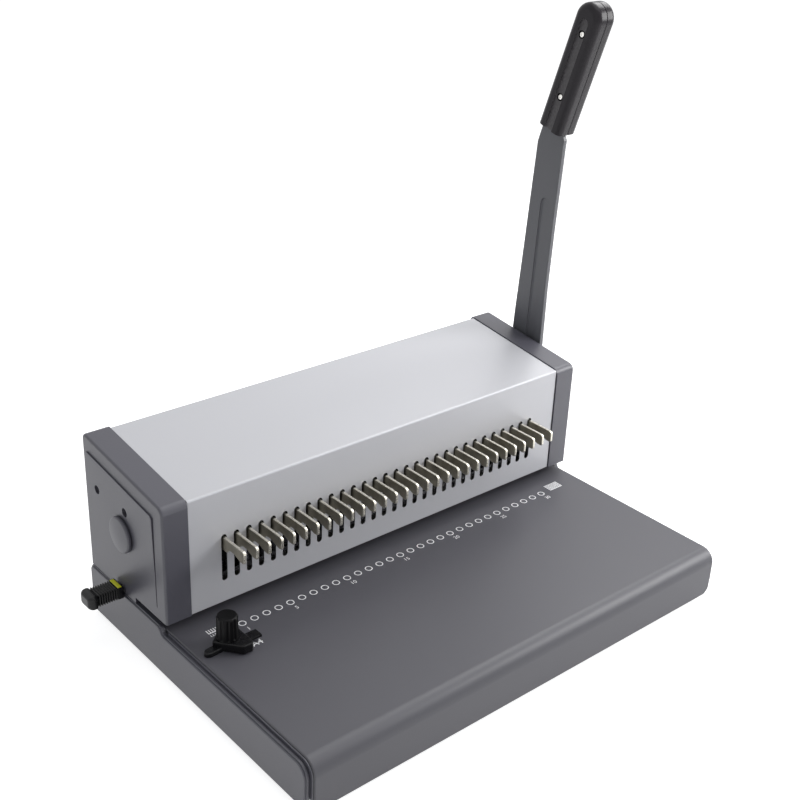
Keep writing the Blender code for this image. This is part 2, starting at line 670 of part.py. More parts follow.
def make_punch():
    """Die block, punch guide with its spacers, the bar with its 30 pins, and the springs."""
    hole_r = PIN_R + 0.35 * MM
    full = (-INNER_HALF_X, INNER_HALF_X)
    die_bottom = PLATEN_Z - 9.0 * MM
    die = box("die_block", full, (PUNCH_Y - 10.5 * MM, PUNCH_Y + 29.5 * MM), (die_bottom, PLATEN_Z))
    cut(die, pin_row("die_holes", (die_bottom - 1.0 * MM, PLATEN_Z + 1.0 * MM), hole_r))
    place(die, TOOL_STEEL)
    guide_y = (PUNCH_Y - 16.5 * MM, PUNCH_Y + 8.5 * MM)
    guide = box("punch_guide", full, guide_y, (THROAT_TOP, GUIDE_TOP))
    round_edges(guide, 2.5 * MM, 1, lambda a, b: max(a.y, b.y) < guide_y[0] + 0.1 * MM
                and max(a.z, b.z) < THROAT_TOP + 0.1 * MM)
    cut(guide, pin_row("guide_holes", (THROAT_TOP - 1.0 * MM, GUIDE_TOP + 1.0 * MM), hole_r))
    peg_r = 2.2 * MM
    for spot in PUNCH_SPRINGS:
        join(guide, rod("spring_peg", "Z", spot, (GUIDE_TOP - 1.0 * MM, GUIDE_TOP + 9.5 * MM), peg_r, 10))
    place(guide, TOOL_STEEL)
    spacer_y = (guide_y[0] + 3.0 * MM, guide_y[1])
    for side, word in ((-1, "left"), (1, "right")):
        spacer_x = span_on(side, INNER_HALF_X - 6.8 * MM, INNER_HALF_X)
        spacer = box("throat_spacer_" + word, spacer_x, spacer_y, (PLATEN_Z + GAP, THROAT_TOP - GAP))
        place(spacer, BARE_STEEL)

    bar_half = 143.0 * MM
    bar_y = (guide_y[0] + 0.5 * MM, guide_y[1] - 1.5 * MM)
    bar = box("punch_bar", (-bar_half, bar_half), bar_y, (BAR_BOTTOM, BAR_TOP))
    pocket_top = BAR_TOP - 2.0 * MM
    pocket_r = 5.2 * MM
    for spot in PUNCH_SPRINGS:
        cut(bar, rod("spring_pocket", "Z", spot, (BAR_BOTTOM - 2.0 * MM, pocket_top), pocket_r, 14))
    place(bar, BARE_STEEL, PUNCH_BODY)
    strip = 2.0 * MM
    strip_half = 4.0 * MM
    pins = box("punch_pins", (-bar_half, bar_half), (PUNCH_Y - strip_half, PUNCH_Y + strip_half),
               (BAR_BOTTOM - GAP - strip, BAR_BOTTOM - GAP))
    join(pins, pin_row("pin_row", (THROAT_TOP + 1.0 * MM, BAR_BOTTOM - strip), PIN_R))
    place(pins, TOOL_STEEL, PUNCH_BODY)

    coil_r = 3.9 * MM
    wire_r = 0.5 * MM
    for spot, word in zip(PUNCH_SPRINGS, ("left", "right")):
        spring = coil_spring("punch_spring_" + word, spot, GUIDE_TOP + GAP, pocket_top - GAP,
                             coil_r, wire_r, 6)
        place(spring, BARE_STEEL)


def coil_spring(name, spot, low, high, radius, wire, turns):
    """A compression spring: one helix of wire about an upright axis."""
    steps = 8
    start = low + wire * 1.2
    rise = high - low - wire * 2.4
    curve = bpy.data.curves.new("spring", "CURVE")
    curve.dimensions = "3D"
    curve.bevel_depth = wire
    curve.bevel_resolution = 0
    curve.resolution_u = 1
    curve.use_fill_caps = True
    count = turns * steps + 1
    spline = curve.splines.new("POLY")
    spline.points.add(count - 1)
    for index, point in enumerate(spline.points):
        angle = 2 * pi * index / steps
        z = start + rise * index / (count - 1)
        point.co = (spot[0] + radius * cos(angle), spot[1] + radius * sin(angle), z, 1)
    return mesh_from_curve(name, curve, Matrix.Identity(4))


HOOK_BASE_R = 11.0 * MM
SHELF_TOP = SHAFT_Z - HOOK_BASE_R - GAP
HOOK_POSTS = ((-60.0 * MM, 41.0 * MM), (60.0 * MM, 41.0 * MM))
HOOK_TOP = PLATEN_Z + 56.0 * MM
HOOK_ROOT = PLATEN_Z + 46.2 * MM
HOOK_STRIP_Y = (PANEL_Y + 2.0 * MM, PANEL_Y + 4.4 * MM)
CARRIER_FRONT = HOOK_STRIP_Y[1] + GAP


def hook_outline():
    """One flat hook: a root in the slot, an arm, and a tip turned down at the front."""
    tip_y = PANEL_Y - 24.0 * MM
    low = PLATEN_Z + 47.1 * MM
    top_r = 2.2 * MM
    low_r = 1.0 * MM
    waist = PLATEN_Z + 49.4 * MM
    back = HOOK_STRIP_Y[1] - 0.4 * MM
    points = [(back, HOOK_ROOT), (back, HOOK_TOP)]
    points += arc((tip_y + top_r, HOOK_TOP - top_r), top_r, 90, 180, 2)
    points += arc((tip_y + low_r, low + low_r), low_r, 180, 270, 1)
    points += [(PANEL_Y - 18.5 * MM, low), (PANEL_Y - 13.5 * MM, waist), (PANEL_Y - 7.9 * MM, waist),
               (PANEL_Y - 5.2 * MM, HOOK_ROOT + 0.8 * MM), (PANEL_Y - 3.9 * MM, HOOK_ROOT)]
    return points


def make_hooks():
    """The carrier behind the panel with its 30 hooks, its guide posts and its springs."""
    arm_in = 145.5 * MM
    arm_out = 152.5 * MM
    arm_rear = 65.0 * MM
    arm_low = SHELF_TOP - 4.0 * MM
    back = CARRIER_FRONT + 2.8 * MM
    carrier_top = HOOK_TOP + 4.5 * MM
    carrier = box("hook_carrier", (-arm_out, arm_out), (CARRIER_FRONT, back), (arm_low, carrier_top))
    for side in (-1, 1):
        join(carrier, box("carrier_arm", span_on(side, arm_in, arm_out), (back - 1.0 * MM, arm_rear),
                          (arm_low, SHELF_TOP)))
    post_r = 3.0 * MM
    lug_half = 6.5 * MM
    lug_low = 84.0 * MM
    lug_top = lug_low + 7.0 * MM
    for x, y in HOOK_POSTS:
        join(carrier, box("carrier_lug", (x - lug_half, x + lug_half), (back - 1.0 * MM, y + 6.0 * MM),
                          (lug_low, lug_top)))
        cut(carrier, rod("lug_hole", "Z", (x, y), (lug_low - 3.0 * MM, lug_top + 2.0 * MM),
                         post_r + 0.4 * MM, 12))
    place(carrier, BLACK_STEEL, HOOK_BODY)

    half_plate = 1.0 * MM
    row = [plate("hook", [hook_outline()], "YZ", (row_x(i) - half_plate, row_x(i) + half_plate))
           for i in range(HOLES)]
    strip_z = (HOOK_ROOT - 1.5 * MM, HOOK_TOP + 1.5 * MM)
    hooks = box("opener_hooks", (-arm_in, arm_in), HOOK_STRIP_Y, strip_z)
    join(hooks, row_of("hook_row", row))
    place(hooks, NICKEL, HOOK_BODY)

    post_span = (TIE_BAR_TOP + GAP, UPPER_TIE_BOTTOM - GAP)
    coil_r = 4.8 * MM
    wire_r = 0.6 * MM
    for spot, word in zip(HOOK_POSTS, ("left", "right")):
        place(rod("hook_post_" + word, "Z", spot, post_span, post_r, 12), BARE_STEEL)
        spring = coil_spring("hook_spring_" + word, spot, post_span[0], lug_low - GAP, coil_r, wire_r, 7)
        place(spring, BARE_STEEL)


def tangent_angle(radius, reach):
    """Angle at the centre between a far point and where its tangent meets the circle."""
    ratio = min(radius / reach, 1.0)
    return degrees(atan2((1 - ratio * ratio) ** 0.5, ratio))


def cam_outline(base_r, rate):
    """A cam that pushes a flat follower down at one rate all through the lever's swing.

    Its working edge is the involute of a circle with that rate as its radius.
    """
    overrun = radians(8)
    hub_r = 10.9 * MM
    steps = 14
    edge = []
    for step in range(steps + 1):
        turn = -overrun + (LEVER_SWING + 2 * overrun) * step / steps
        y = -rate
        z = -(base_r + rate * turn)
        edge.append((y * cos(turn) + z * sin(turn), z * cos(turn) - y * sin(turn)))
    # Tangents from the two ends of the edge to the hub circle close the outline
    first = edge[0]
    last = edge[-1]
    touch_last = degrees(atan2(last[1], last[0])) - tangent_angle(hub_r, hypot(*last))
    touch_first = degrees(atan2(first[1], first[0])) + tangent_angle(hub_r, hypot(*first))
    hub = arc((0, 0), hub_r, touch_last % 360, touch_first % 360 - 360, 12)
    return [(SHAFT_Y + y, SHAFT_Z + z) for y, z in edge + hub]


def make_shaft():
    """The main shaft and its cams."""
    left_end = 3.0 * MM + GAP - CHEEK_OUT
    neck = ARM_IN - 0.4 * MM
    right_end = ARM_OUT + 9.0 * MM
    profile = [(left_end, 0), (left_end, SHAFT_R), (neck, SHAFT_R), (neck, SHAFT_NECK_R),
               (right_end, SHAFT_NECK_R), (right_end, 0)]
    place(turned("main_shaft", profile, (SHAFT_Y, SHAFT_Z), 20), BARE_STEEL, LEVER_BODY)
    bore = circle((SHAFT_Y, SHAFT_Z), SHAFT_R + GAP, 20)
    punch_edge = cam_outline(PUNCH_BASE_R, PUNCH_RATE)
    hook_edge = cam_outline(HOOK_BASE_R, HOOK_RATE)
    for side, word in ((-1, "left"), (1, "right")):
        punch_span = span_on(side, 68.0 * MM, 76.0 * MM)
        hook_span = span_on(side, 146.0 * MM, 152.0 * MM)
        place(plate("punch_cam_" + word, [punch_edge, bore], "YZ", punch_span), TOOL_STEEL, LEVER_BODY)
        place(plate("hook_cam_" + word, [hook_edge, bore], "YZ", hook_span), TOOL_STEEL, LEVER_BODY)


def grip_point(across, along):
    """A point of the grip's own frame, across and along its leaning axis, in the YZ plane."""
    return (GRIP_Y + across * cos(GRIP_LEAN) - along * sin(GRIP_LEAN),
            GRIP_Z + across * sin(GRIP_LEAN) + along * cos(GRIP_LEAN))


def make_lever():
    """The bent steel arm with its pressed channel, fixed to the shaft by a nut under a cap."""
    tang_half = 7.6 * MM
    tang_end = 84.0 * MM
    hub_r = 19.0 * MM
    hub = (PANEL_Y + 50.0 * MM, SHAFT_Z)

    shoulder = 11.8 * MM
    outline = [grip_point(shoulder, -4.5 * MM), grip_point(tang_half, -0.5 * MM),
               grip_point(tang_half, tang_end), grip_point(-tang_half, tang_end),
               grip_point(-tang_half, -0.5 * MM), grip_point(-shoulder, -4.5 * MM)]
    front = ((34.4, 252.0), (35.7, 222.0), (37.3, 190.0), (38.9, 140.0), (38.9, 92.0), (36.5, 75.0))
    outline += [(PANEL_Y + y * MM, PLATEN_Z + z * MM) for y, z in front]
    outline += arc(hub, hub_r, 150, 380, 14)
    rear = ((70.4, 80.0), (70.0, 95.0), (69.0, 114.0), (65.3, 169.0), (62.7, 211.0), (60.1, 252.0))
    outline += [(PANEL_Y + y * MM, PLATEN_Z + z * MM) for y, z in rear]
    shaft_hole = circle((SHAFT_Y, SHAFT_Z), SHAFT_NECK_R + GAP, 16)
    holes = [shaft_hole]
    for along in GRIP_SCREWS:
        holes.append(circle(grip_point(0, along), 2.2 * MM, 8))
    arm = plate("lever_arm", [outline] + holes, "YZ", (ARM_IN, ARM_OUT))

    press = 1.2 * MM
    top = (PANEL_Y + 46.4 * MM, PLATEN_Z + 206.0 * MM)
    low = (PANEL_Y + 50.6 * MM, PLATEN_Z + 84.0 * MM)
    pressed = stadium(low, top, 5.0 * MM, 6)
    join(arm, plate("pressed_rib", [pressed], "YZ", (ARM_OUT - 1.0 * MM, ARM_OUT + press)))
    cut(arm, plate("pressed_channel", [pressed], "YZ", (ARM_IN - 1.0 * MM, ARM_IN + press)))
    place(arm, LEVER_PAINT, LEVER_BODY)

    seat = ARM_OUT + GAP
    hexagon = circle((SHAFT_Y, SHAFT_Z), 10.0 * MM, 6)
    nut = plate("lever_nut", [hexagon, shaft_hole], "YZ", (seat, seat + 7.2 * MM))
    place(nut, BARE_STEEL, LEVER_BODY)

    outer = 17.0 * MM
    dome = 5.0 * MM
    wall = 3.0 * MM
    profile = [(END_X - wall, 0), (END_X - wall, outer - 2 * wall), (END_X - 2 * wall, outer - wall)]
    profile += [(seat, outer - wall), (seat, outer)]
    profile += [(END_X - dome + y, outer - dome + z) for y, z in arc((0, 0), dome, 90, 0, 4)]
    profile += [(END_X, 0)]
    place(turned("lever_cap", profile, (SHAFT_Y, SHAFT_Z)), BLACK_PLASTIC, LEVER_BODY)


def make_grip():
    """Two grip halves closed round the arm's tang, each with a screw channel."""
    half = GRIP_WIDTH / 2
    middle = (ARM_IN + ARM_OUT) / 2
    reach = 9.8 * MM
    rounding = 5.0 * MM
    pocket = 8.0 * MM
    pocket_end = 84.5 * MM
    seat_depth = 3.2 * MM
    tang = [grip_point(-pocket, -3.0 * MM), grip_point(pocket, -3.0 * MM),
            grip_point(pocket, pocket_end), grip_point(-pocket, pocket_end)]
    shape = [(-half, 0), (half, 0)] + arc((0, GRIP_LENGTH - half), half, 0, 180, 12)
    outline = [grip_point(a, b) for a, b in shape]
    groove = stadium((0, -6.0 * MM), (0, GRIP_LENGTH - 15.0 * MM), 3.8 * MM, 5)
    channel = [grip_point(a, b) for a, b in groove]
    foot_a = Vector((0, *grip_point(-half, 0)))
    foot_b = Vector((0, *grip_point(half, 0)))
    foot_line = (foot_b - foot_a).normalized()

    def above_foot(point):
        """How far a point lies from the grip's straight lower edge."""
        flat = Vector((0, point.y, point.z)) - foot_a
        return (flat - flat.dot(foot_line) * foot_line).length

    for side, word in ((-1, "inner"), (1, "outer")):
        span = sorted((middle + side * 0.15 * MM, middle + side * reach))
        grip = plate("grip_" + word, [outline], "YZ", span)
        face_x = middle + side * reach
        round_edges(grip, rounding, 3,
                    lambda a, b: max(abs(a.x - face_x), abs(b.x - face_x)) < 0.1 * MM
                    and max(above_foot(a), above_foot(b)) > 0.5 * MM)
        cut(grip, plate("tang_pocket", [tang], "YZ", (ARM_IN - GAP, ARM_OUT + GAP)))
        channel_span = sorted((face_x - side * 1.6 * MM, face_x + side * 1.0 * MM))
        cut(grip, plate("screw_channel", [channel], "YZ", channel_span))
        for along in GRIP_SCREWS:
            spot = grip_point(0, along)
            hole = sorted((face_x - side * seat_depth, face_x + side * 1.0 * MM))
            cut(grip, rod("screw_seat", "X", spot, hole, 2.9 * MM, 12))
            cut(grip, rod("screw_bore", "X", spot, (middle - 7.5 * MM, middle + 7.5 * MM), 1.8 * MM, 8))
        place(grip, GRIP_PLASTIC, LEVER_BODY)

    for along, word in zip(GRIP_SCREWS, ("lower", "upper")):
        spot = grip_point(0, along)
        shank = rod("grip_screw_" + word, "X", spot, (middle - 7.0 * MM, middle + 7.0 * MM), 1.45 * MM, 8)
        for side in (-1, 1):
            seat = middle + side * (reach - seat_depth + GAP)
            join(shank, rod("head", "X", spot, sorted((seat, seat + side * 1.5 * MM)), 2.1 * MM, 10))
        place(shank, NICKEL, LEVER_BODY)


def rounded_section(width, height, radius, shift, corner_steps=3):
    """A rounded rectangle whose middle is shifted from the origin."""
    shape = []
    for quarter, (sx, sy) in enumerate(((1, 1), (-1, 1), (-1, -1), (1, -1))):
        centre = (shift[0] + sx * (width / 2 - radius), shift[1] + sy * (height / 2 - radius))
        shape += arc(centre, radius, 90 * quarter, 90 * quarter + 90, corner_steps)
    return shape


def stacked(name, section, rings, centre):
    """A solid along X whose section keeps its shape and changes size: rings are (x, scale)."""
    bm = bmesh.new()
    face = bm.faces.new([bm.verts.new((0, y, z)) for y, z in section])
    start_x, start_scale = rings[0]
    bmesh.ops.scale(bm, vec=(1, start_scale, start_scale), verts=face.verts)
    bmesh.ops.translate(bm, vec=(start_x, 0, 0), verts=face.verts)
    first = face
    last_x, last_scale = rings[0]
    for x, scale in rings[1:]:
        made = bmesh.ops.extrude_face_region(bm, geom=[face])
        grown = [item for item in made["geom"] if isinstance(item, bmesh.types.BMFace)][0]
        verts = grown.verts
        bmesh.ops.translate(bm, vec=(x - last_x, 0, 0), verts=verts)
        factor = scale / last_scale
        bmesh.ops.scale(bm, vec=(1, factor, factor), verts=verts)
        if face is not first:
            bmesh.ops.delete(bm, geom=[face], context="FACES_ONLY")
        face = grown
        last_x, last_scale = x, scale
    bmesh.ops.recalc_face_normals(bm, faces=bm.faces)
    mesh = bpy.data.meshes.new(name)
    bm.to_mesh(mesh)
    bm.free()
    return link(name, mesh, Matrix.Translation((0, centre[0], centre[1])))


def make_margin():
    """The pull knob, its yellow marker and rod, and the depth stop that its slots move."""
    bar_half = 149.0 * MM
    bar_y = (ROD_Y - 6.5 * MM, ROD_Y + 6.5 * MM)
    bar_z = (ROD_Z - 1.1 * MM, ROD_Z + 1.1 * MM)
    pin_y = ROD_Y - STOP_TRAVEL / 2
    pin_r = 1.5 * MM
    bar = box("margin_rod", (-bar_half, bar_half), bar_y, bar_z)
    for x in STOP_PINS:
        slot = stadium((x, pin_y), (x + MARGIN_PULL, pin_y + STOP_TRAVEL), pin_r + 0.4 * MM)
        cut(bar, plate("slanted_slot", [slot], "XY", (bar_z[0] - 1.0 * MM, bar_z[1] + 1.0 * MM)))
    left_end = END_X - 6.0 * MM
    right_end = CHEEK_IN - 0.4 * MM
    join(bar, rod("left_shank", "X", (ROD_Y, ROD_Z), (-left_end, 2.0 * MM - bar_half), ROD_R, 12))
    join(bar, rod("right_shank", "X", (ROD_Y, ROD_Z), (bar_half - 2.0 * MM, right_end), ROD_R, 12))
    place(bar, BARE_STEEL, MARGIN_BODY)

    knob_in = BASE_HALF_X + 0.4 * MM
    width = 13.8 * MM
    height = 9.2 * MM
    shift = (-0.7 * MM, -0.3 * MM)
    section = rounded_section(width, height, 1.6 * MM, shift)
    collar = 4.4 * MM
    ribs = 8
    rib_pitch = 1.72 * MM
    rings = [(-knob_in, 0.97), (-knob_in - 0.3 * MM, 1.0)]
    for index in range(ribs):
        start = knob_in + collar + index * rib_pitch
        rings += [(-start + 0.5 * MM, 1.0), (-start, 0.86), (0.5 * MM - start - rib_pitch / 2, 0.98)]
    end = knob_in + collar + ribs * rib_pitch
    rings += [(0.5 * MM - end, 1.0), (-end, 0.86), (-end - 0.9 * MM, 1.06), (-END_X + 3.6 * MM, 1.09),
              (-END_X + 1.5 * MM, 1.0), (-END_X + 0.4 * MM, 0.8), (-END_X, 0.55)]
    knob = stacked("margin_knob", section, rings, (ROD_Y, ROD_Z))
    bore_end = left_end + 0.4 * MM
    cut(knob, rod("knob_bore", "X", (ROD_Y, ROD_Z), (-bore_end, 2.0 * MM - knob_in), ROD_R + GAP, 12))
    inlay_x = (-knob_in - 3.9 * MM, -knob_in - 0.4 * MM)
    inlay_half = 5.9 * MM
    inlay_y = (ROD_Y + shift[0] - inlay_half, ROD_Y + shift[0] + inlay_half)
    inlay_low = ROD_Z + ROD_R + 0.9 * MM
    section_top = ROD_Z + shift[1] + height / 2
    cut(knob, box("inlay_pocket", inlay_x, inlay_y, (inlay_low, section_top + 2.0 * MM)))
    place(knob, BLACK_PLASTIC, MARGIN_BODY)
    inlay = box("margin_marker", (inlay_x[0] + GAP, inlay_x[1] - GAP), (inlay_y[0] + GAP, inlay_y[1] - GAP),
                (inlay_low + GAP, section_top + 0.2 * MM))
    place(inlay, YELLOW_PLASTIC, MARGIN_BODY)

    stop_half = 149.2 * MM
    blade_y = (PUNCH_Y + 6.5 * MM, ROD_Y + 7.5 * MM)
    blade_z = (PLATEN_Z + 0.4 * MM, PLATEN_Z + 2.1 * MM)
    stop = box("depth_stop", (-stop_half, stop_half), blade_y, blade_z)
    for x in STOP_PINS:
        join(stop, rod("stop_pin", "Z", (x, pin_y), (blade_z[0] + 0.8 * MM, ROD_Z + 2.2 * MM), pin_r, 10))
    place(stop, BARE_STEEL, STOP_BODY)


def make_edge_guide():
    """The black side stop on the platen, with its fluted clamp knob and stud."""
    seat = PLATEN_Z + GAP
    top = PLATEN_Z + 6.8 * MM
    stud_r = 2.1 * MM
    stud_top = PLATEN_Z + 16.5 * MM
    bore_r = stud_r + 0.4 * MM
    shape = [(-168.2, -31.3), (-160.8, -24.9), (-147.2, -24.9), (-147.2, -45.9), (-149.1, -47.8),
             (-155.4, -47.6)]
    outline = [(x * MM, PANEL_Y + y * MM) for x, y in shape][::-1]
    guide = plate("edge_guide", [outline, circle((CLAMP_X, CLAMP_Y), bore_r, 12)], "XY", (seat, top))
    round_edges(guide, 0.9 * MM, 1,
                lambda a, b: min(a.z, b.z) > top - 0.1 * MM
                and min(hypot(p.x - CLAMP_X, p.y - CLAMP_Y) for p in (a, b)) > 4.0 * MM)
    tab_y = (PANEL_Y - 41.4 * MM, PANEL_Y - 34.0 * MM)
    join(guide, box("tab", (-149.0 * MM, -137.6 * MM), tab_y, (PLATEN_Z + 2.6 * MM, PLATEN_Z + 4.6 * MM)))
    lobe = stadium((-165.0 * MM, PANEL_Y - 33.6 * MM), (-172.8 * MM, PANEL_Y - 34.2 * MM), 2.7 * MM, 5)
    join(guide, plate("lobe", [lobe], "XY", (seat, PLATEN_Z + 3.4 * MM)))
    place(guide, BLACK_PLASTIC, GUIDE_BODY)

    knob_top = PLATEN_Z + 23.6 * MM
    knob = rod("clamp_knob", "Z", (CLAMP_X, CLAMP_Y), (top + GAP, top + 1.2 * MM), 7.1 * MM, 20)
    flutes = 10
    star = []
    for index in range(flutes):
        for share, radius in ((0.0, 1.0), (0.5, 1.0), (0.62, 0.9), (0.88, 0.9)):
            star.append((radius, 2 * pi * (index + share) / flutes))
    grip = fluted("flutes", star, (CLAMP_X, CLAMP_Y),
                  ((top + 0.8 * MM, 7.1 * MM), (knob_top - 1.2 * MM, 6.8 * MM),
                   (knob_top - 0.5 * MM, 6.5 * MM), (knob_top, 5.9 * MM)))
    join(knob, grip)
    cut(knob, rod("stud_bore", "Z", (CLAMP_X, CLAMP_Y), (top - 1.0 * MM, stud_top + 0.5 * MM), bore_r, 12))
    place(knob, BLACK_PLASTIC, CLAMP_BODY)

    head_low = PLATEN_Z - 5.2 * MM
    head_top = PLATEN_Z - 2.0 * MM
    stud = rod("clamp_stud", "Z", (CLAMP_X, CLAMP_Y), (head_low + 0.2 * MM, stud_top), stud_r, 12)
    join(stud, rod("stud_head", "Z", (CLAMP_X, CLAMP_Y), (head_low, head_top), 6.0 * MM, 6))
    place(stud, BARE_STEEL, CLAMP_BODY)


def fluted(name, star, centre, levels):
    """An upright fluted solid: star is (relative radius, angle), levels are (z, radius)."""
    bm = bmesh.new()
    low_z, low_r = levels[0]
    face = bm.faces.new([bm.verts.new((low_r * r * cos(a), low_r * r * sin(a), low_z)) for r, a in star])
    first = face
    last_z, last_r = low_z, low_r
    for z, radius in levels[1:]:
        made = bmesh.ops.extrude_face_region(bm, geom=[face])
        grown = [item for item in made["geom"] if isinstance(item, bmesh.types.BMFace)][0]
        bmesh.ops.translate(bm, vec=(0, 0, z - last_z), verts=grown.verts)
        factor = radius / last_r
        bmesh.ops.scale(bm, vec=(factor, factor, 1), verts=grown.verts)
        if face is not first:
            bmesh.ops.delete(bm, geom=[face], context="FACES_ONLY")
        face = grown
        last_z, last_r = z, radius
    bmesh.ops.recalc_face_normals(bm, faces=bm.faces)
    mesh = bpy.data.meshes.new(name)
    bm.to_mesh(mesh)
    bm.free()
    return link(name, mesh, Matrix.Translation((centre[0], centre[1], 0)))


def make_chip_tray():
    """The tray for the punched chips, under the die, pulled out at the back."""
    wall = 1.5 * MM
    inside = TRAY_HALF_X - wall
    y = (50.0 * MM, BASE_REAR)
    z = (TRAY_LOW, TRAY_TOP)
    tray = box("chip_tray", (-TRAY_HALF_X, TRAY_HALF_X), y, z)
    cut(tray, box("tray_inside", (-inside, inside), (y[0] + wall, y[1] - 2.0 * MM),
                  (z[0] + wall, z[1] + 5.0 * MM)))
    notch_r = 13.0 * MM
    cut(tray, rod("thumb_notch", "Y", (0, z[1] + 3.0 * MM), (y[1] - 5.0 * MM, y[1] + 5.0 * MM), notch_r, 24))
    place(tray, GREY_PLASTIC, TRAY_BODY)


make_base()
both_sides(make_side_trim)
both_sides(make_cheek)
make_cheek_fittings()
make_top_cover()
make_frame()
make_punch()
make_hooks()
make_shaft()
make_lever()
make_grip()
make_margin()
make_edge_guide()
make_chip_tray()
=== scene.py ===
from math import atan2, cos, degrees, hypot, pi, radians, sin

import bmesh
import bpy
from mathutils import Matrix, Vector


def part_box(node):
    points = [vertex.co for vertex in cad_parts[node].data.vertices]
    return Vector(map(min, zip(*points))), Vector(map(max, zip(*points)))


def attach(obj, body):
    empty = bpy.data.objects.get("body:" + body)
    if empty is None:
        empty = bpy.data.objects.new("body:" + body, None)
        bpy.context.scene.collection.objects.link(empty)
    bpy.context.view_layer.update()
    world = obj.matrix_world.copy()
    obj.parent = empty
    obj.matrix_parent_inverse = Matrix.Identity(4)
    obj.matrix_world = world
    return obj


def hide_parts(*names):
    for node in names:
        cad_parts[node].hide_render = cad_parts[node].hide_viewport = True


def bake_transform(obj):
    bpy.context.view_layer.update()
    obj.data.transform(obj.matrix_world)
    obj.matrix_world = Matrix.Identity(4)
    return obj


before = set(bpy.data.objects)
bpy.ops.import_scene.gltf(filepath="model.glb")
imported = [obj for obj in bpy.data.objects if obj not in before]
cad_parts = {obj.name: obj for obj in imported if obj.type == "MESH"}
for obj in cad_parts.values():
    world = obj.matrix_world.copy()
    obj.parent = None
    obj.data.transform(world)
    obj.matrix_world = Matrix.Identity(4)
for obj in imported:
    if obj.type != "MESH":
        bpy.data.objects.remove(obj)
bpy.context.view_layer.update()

MM = 0.001

# The camera
# A moderate lens at the photograph's place: in front of the left end, looking down at the machine,
# with its slight roll.
view_azimuth = radians(-41.30)
view_elevation = radians(26.095)
view_roll = radians(2.42)
view_distance = 906.9 * MM
view_target = Vector((32.1, 57.5, 128.9)) * MM
back = Vector((sin(view_azimuth) * cos(view_elevation), -cos(view_azimuth) * cos(view_elevation),
               sin(view_elevation)))
level = Vector((0, 0, 1)).cross(back).normalized()
upright = back.cross(level)
right = level * cos(view_roll) + upright * sin(view_roll)
up = upright * cos(view_roll) - level * sin(view_roll)
lens_data = bpy.data.cameras.new("camera")
lens_data.sensor_width = 36.0
lens_data.lens = 56.95
camera = bpy.data.objects.new("camera", lens_data)
bpy.context.scene.collection.objects.link(camera)
camera.matrix_world = (Matrix.Translation(view_target + back * view_distance)
                       @ Matrix((right, up, back)).transposed().to_4x4())
bpy.context.scene.camera = camera
bpy.context.scene.view_settings.view_transform = "Standard"

# The floor and the white surroundings
# A pale matt floor that runs into a white background; the floor keeps the machine's soft shadow,
# and shiny parts mirror the same white.


def seen_directly(tree):
    """A value that is 1 for camera, glossy and transmission rays, and 0 for the light on the object."""
    path = tree.nodes.new("ShaderNodeLightPath")
    total = path.outputs["Is Camera Ray"]
    for name in ("Is Glossy Ray", "Is Transmission Ray"):
        either = tree.nodes.new("ShaderNodeMath")
        either.operation = "MAXIMUM"
        tree.links.new(total, either.inputs[0])
        tree.links.new(path.outputs[name], either.inputs[1])
        total = either.outputs[0]
    return total


world = bpy.data.worlds.new("studio")
bpy.context.scene.world = world
world.use_nodes = True
tree = world.node_tree
tree.nodes.clear()
room_light = tree.nodes.new("ShaderNodeBackground")
room_light.inputs["Color"].default_value = (0.95, 0.97, 1.0, 1.0)
room_light.inputs["Strength"].default_value = 0.38
white = tree.nodes.new("ShaderNodeBackground")
white.inputs["Color"].default_value = (1.0, 1.0, 1.0, 1.0)
white.inputs["Strength"].default_value = 1.0
choose = tree.nodes.new("ShaderNodeMixShader")
world_out = tree.nodes.new("ShaderNodeOutputWorld")
tree.links.new(seen_directly(tree), choose.inputs["Fac"])
tree.links.new(room_light.outputs[0], choose.inputs[1])
tree.links.new(white.outputs[0], choose.inputs[2])
tree.links.new(choose.outputs[0], world_out.inputs["Surface"])

floor_half = 6.0
bm = bmesh.new()
bmesh.ops.create_grid(bm, x_segments=1, y_segments=1, size=floor_half)
floor_mesh = bpy.data.meshes.new("floor")
bm.to_mesh(floor_mesh)
bm.free()
floor = bpy.data.objects.new("floor", floor_mesh)
bpy.context.scene.collection.objects.link(floor)
floor_paint = bpy.data.materials.new("floor_paper")
floor_paint.use_nodes = True
tree = floor_paint.node_tree
tree.nodes.clear()
paper = tree.nodes.new("ShaderNodeBsdfDiffuse")
paper.inputs["Color"].default_value = (0.72, 0.72, 0.72, 1.0)
glow = tree.nodes.new("ShaderNodeEmission")
glow.inputs["Color"].default_value = (1.0, 1.0, 1.0, 1.0)
glow_share = tree.nodes.new("ShaderNodeMath")
glow_share.operation = "MULTIPLY"
glow_share.inputs[1].default_value = 0.80
both = tree.nodes.new("ShaderNodeAddShader")
floor_out = tree.nodes.new("ShaderNodeOutputMaterial")
tree.links.new(seen_directly(tree), glow_share.inputs[0])
tree.links.new(glow_share.outputs[0], glow.inputs["Strength"])
tree.links.new(paper.outputs[0], both.inputs[0])
tree.links.new(glow.outputs[0], both.inputs[1])
tree.links.new(both.outputs[0], floor_out.inputs["Surface"])
floor_mesh.materials.append(floor_paint)

# The lamps
# A large soft box overhead, one high at the right that draws the light along the bends, one at the front
# right that lights the panel and falls off to the left, and a weak one at the front left.


